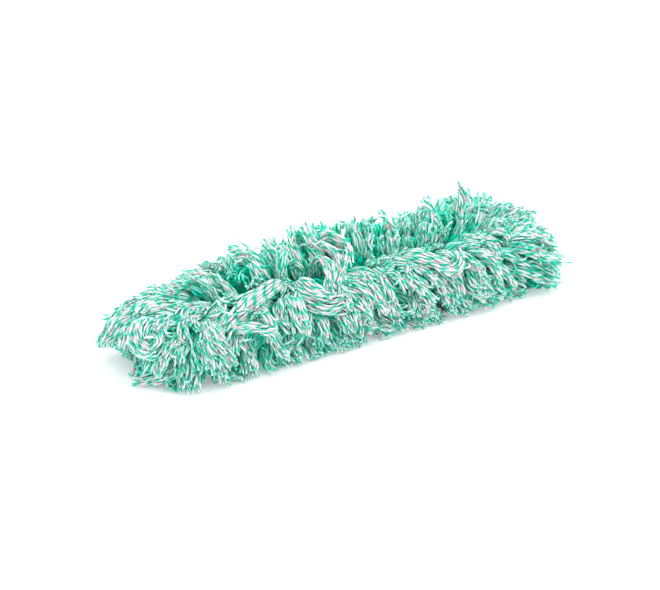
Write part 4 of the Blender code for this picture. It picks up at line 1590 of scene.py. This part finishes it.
@dataclass
class Studio:
    """The pale floor, the soft light and the camera."""

    azimuth: float = -31.0
    elevation: float = 26.0
    lens: float = 150.0
    sensor: float = 36.0
    image_width: int = 660
    image_height: int = 590
    metres_per_pixel: float = 1.15 * MM
    aim_point: tuple[float, float, float] = (6.0 * MM, -1.0 * MM, 55.6 * MM)
    aim_pixel: tuple[float, float] = (334.0, 280.0)
    clip_end: float = 100.0
    floor_size: float = 30.0
    floor_colour: str = "f2f2f2"
    floor_glow: float = 0.3
    world_colour: str = "f9fcff"
    world_strength: float = 1.32
    lamp_energy: float = 5.0
    lamp_size: tuple[float, float] = (1.6, 1.2)
    lamp_place: tuple[float, float, float] = (0.55, -0.35, 1.7)

    def build(self) -> None:
        """Makes the floor, the lamps, the world and the camera."""
        self._floor()
        self._lights()
        self._camera()

    def _floor(self) -> None:
        """A white sweep that keeps the object's soft shadow."""
        bpy.ops.object.select_all(action="DESELECT")
        bpy.ops.mesh.primitive_plane_add(size=self.floor_size)
        floor = bpy.context.active_object
        floor.name = "floor"
        # matt white paper, which the camera sees a little lighter than the lamps make it
        material, shader = new_material("white_paper_sweep")
        tree = material.node_tree
        set_inputs(shader, {"Base Color": linear(self.floor_colour), "Roughness": 0.9})
        glow = add_node(tree, "ShaderNodeEmission", {"Strength": self.floor_glow})
        path = add_node(tree, "ShaderNodeLightPath")
        rays = {0: path.outputs["Is Camera Ray"], 1: path.outputs["Is Glossy Ray"]}
        seen = add_node(tree, MATH, rays, operation="MAXIMUM")
        added = add_node(tree, "ShaderNodeAddShader", {0: shader, 1: glow})
        mixed = add_node(tree, "ShaderNodeMixShader", {0: seen, 1: shader, 2: added})
        set_inputs(tree.nodes["Material Output"], {"Surface": mixed})
        floor.data.materials.append(material)
        floor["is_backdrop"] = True

    def _lights(self) -> None:
        """A large soft lamp overhead and an even world."""
        world = bpy.data.worlds.new("soft_room")
        bpy.context.scene.world = world
        world.use_nodes = True
        backdrop = {"Color": linear(self.world_colour), "Strength": self.world_strength}
        set_inputs(world.node_tree.nodes["Background"], backdrop)
        lamp_data = bpy.data.lights.new("softbox", "AREA")
        lamp_data.shape = "RECTANGLE"
        lamp_data.size, lamp_data.size_y = self.lamp_size
        lamp_data.energy = self.lamp_energy
        lamp = bpy.data.objects.new("softbox", lamp_data)
        lamp.location = self.lamp_place
        lamp.rotation_euler = Vector(lamp.location).to_track_quat("Z", "Y").to_euler()
        bpy.context.scene.collection.objects.link(lamp)

    def _camera(self) -> None:
        """The camera at the photograph's angle, aimed so that the object sits as it does there."""
        turn, tilt = math.radians(self.azimuth), math.radians(self.elevation)
        back = Vector(
            (
                math.sin(turn) * math.cos(tilt),
                -math.cos(turn) * math.cos(tilt),
                math.sin(tilt),
            )
        )
        width = self.image_width * self.metres_per_pixel
        distance = width * self.lens / self.sensor
        data = bpy.data.cameras.new("camera")
        data.lens = self.lens
        data.sensor_width = self.sensor
        camera = bpy.data.objects.new("camera", data)
        camera.rotation_mode = "QUATERNION"
        camera.rotation_quaternion = (-back).to_track_quat("-Z", "Y")
        right = camera.rotation_quaternion @ Vector((1.0, 0.0, 0.0))
        up = camera.rotation_quaternion @ Vector((0.0, 1.0, 0.0))
        aside = (self.image_width / 2 - self.aim_pixel[0]) * self.metres_per_pixel
        above = (self.aim_pixel[1] - self.image_height / 2) * self.metres_per_pixel
        aim = Vector(self.aim_point) + right * aside + up * above
        camera.location = aim + back * distance
        data.clip_end = self.clip_end
        bpy.context.scene.collection.objects.link(camera)
        bpy.context.scene.camera = camera


def main() -> None:
    """Builds the whole scene in order."""
    logging.basicConfig(level=logging.INFO, format="%(name)s: %(message)s")
    bpy.context.scene.view_settings.view_transform = "Standard"
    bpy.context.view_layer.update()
    sleeve = SleeveFrame()
    PocketCloth(sleeve).build()
    PileBuilder(sleeve, TwistedYarnFinish()).build()
    Studio().build()


if __name__ == "__main__":
    main()
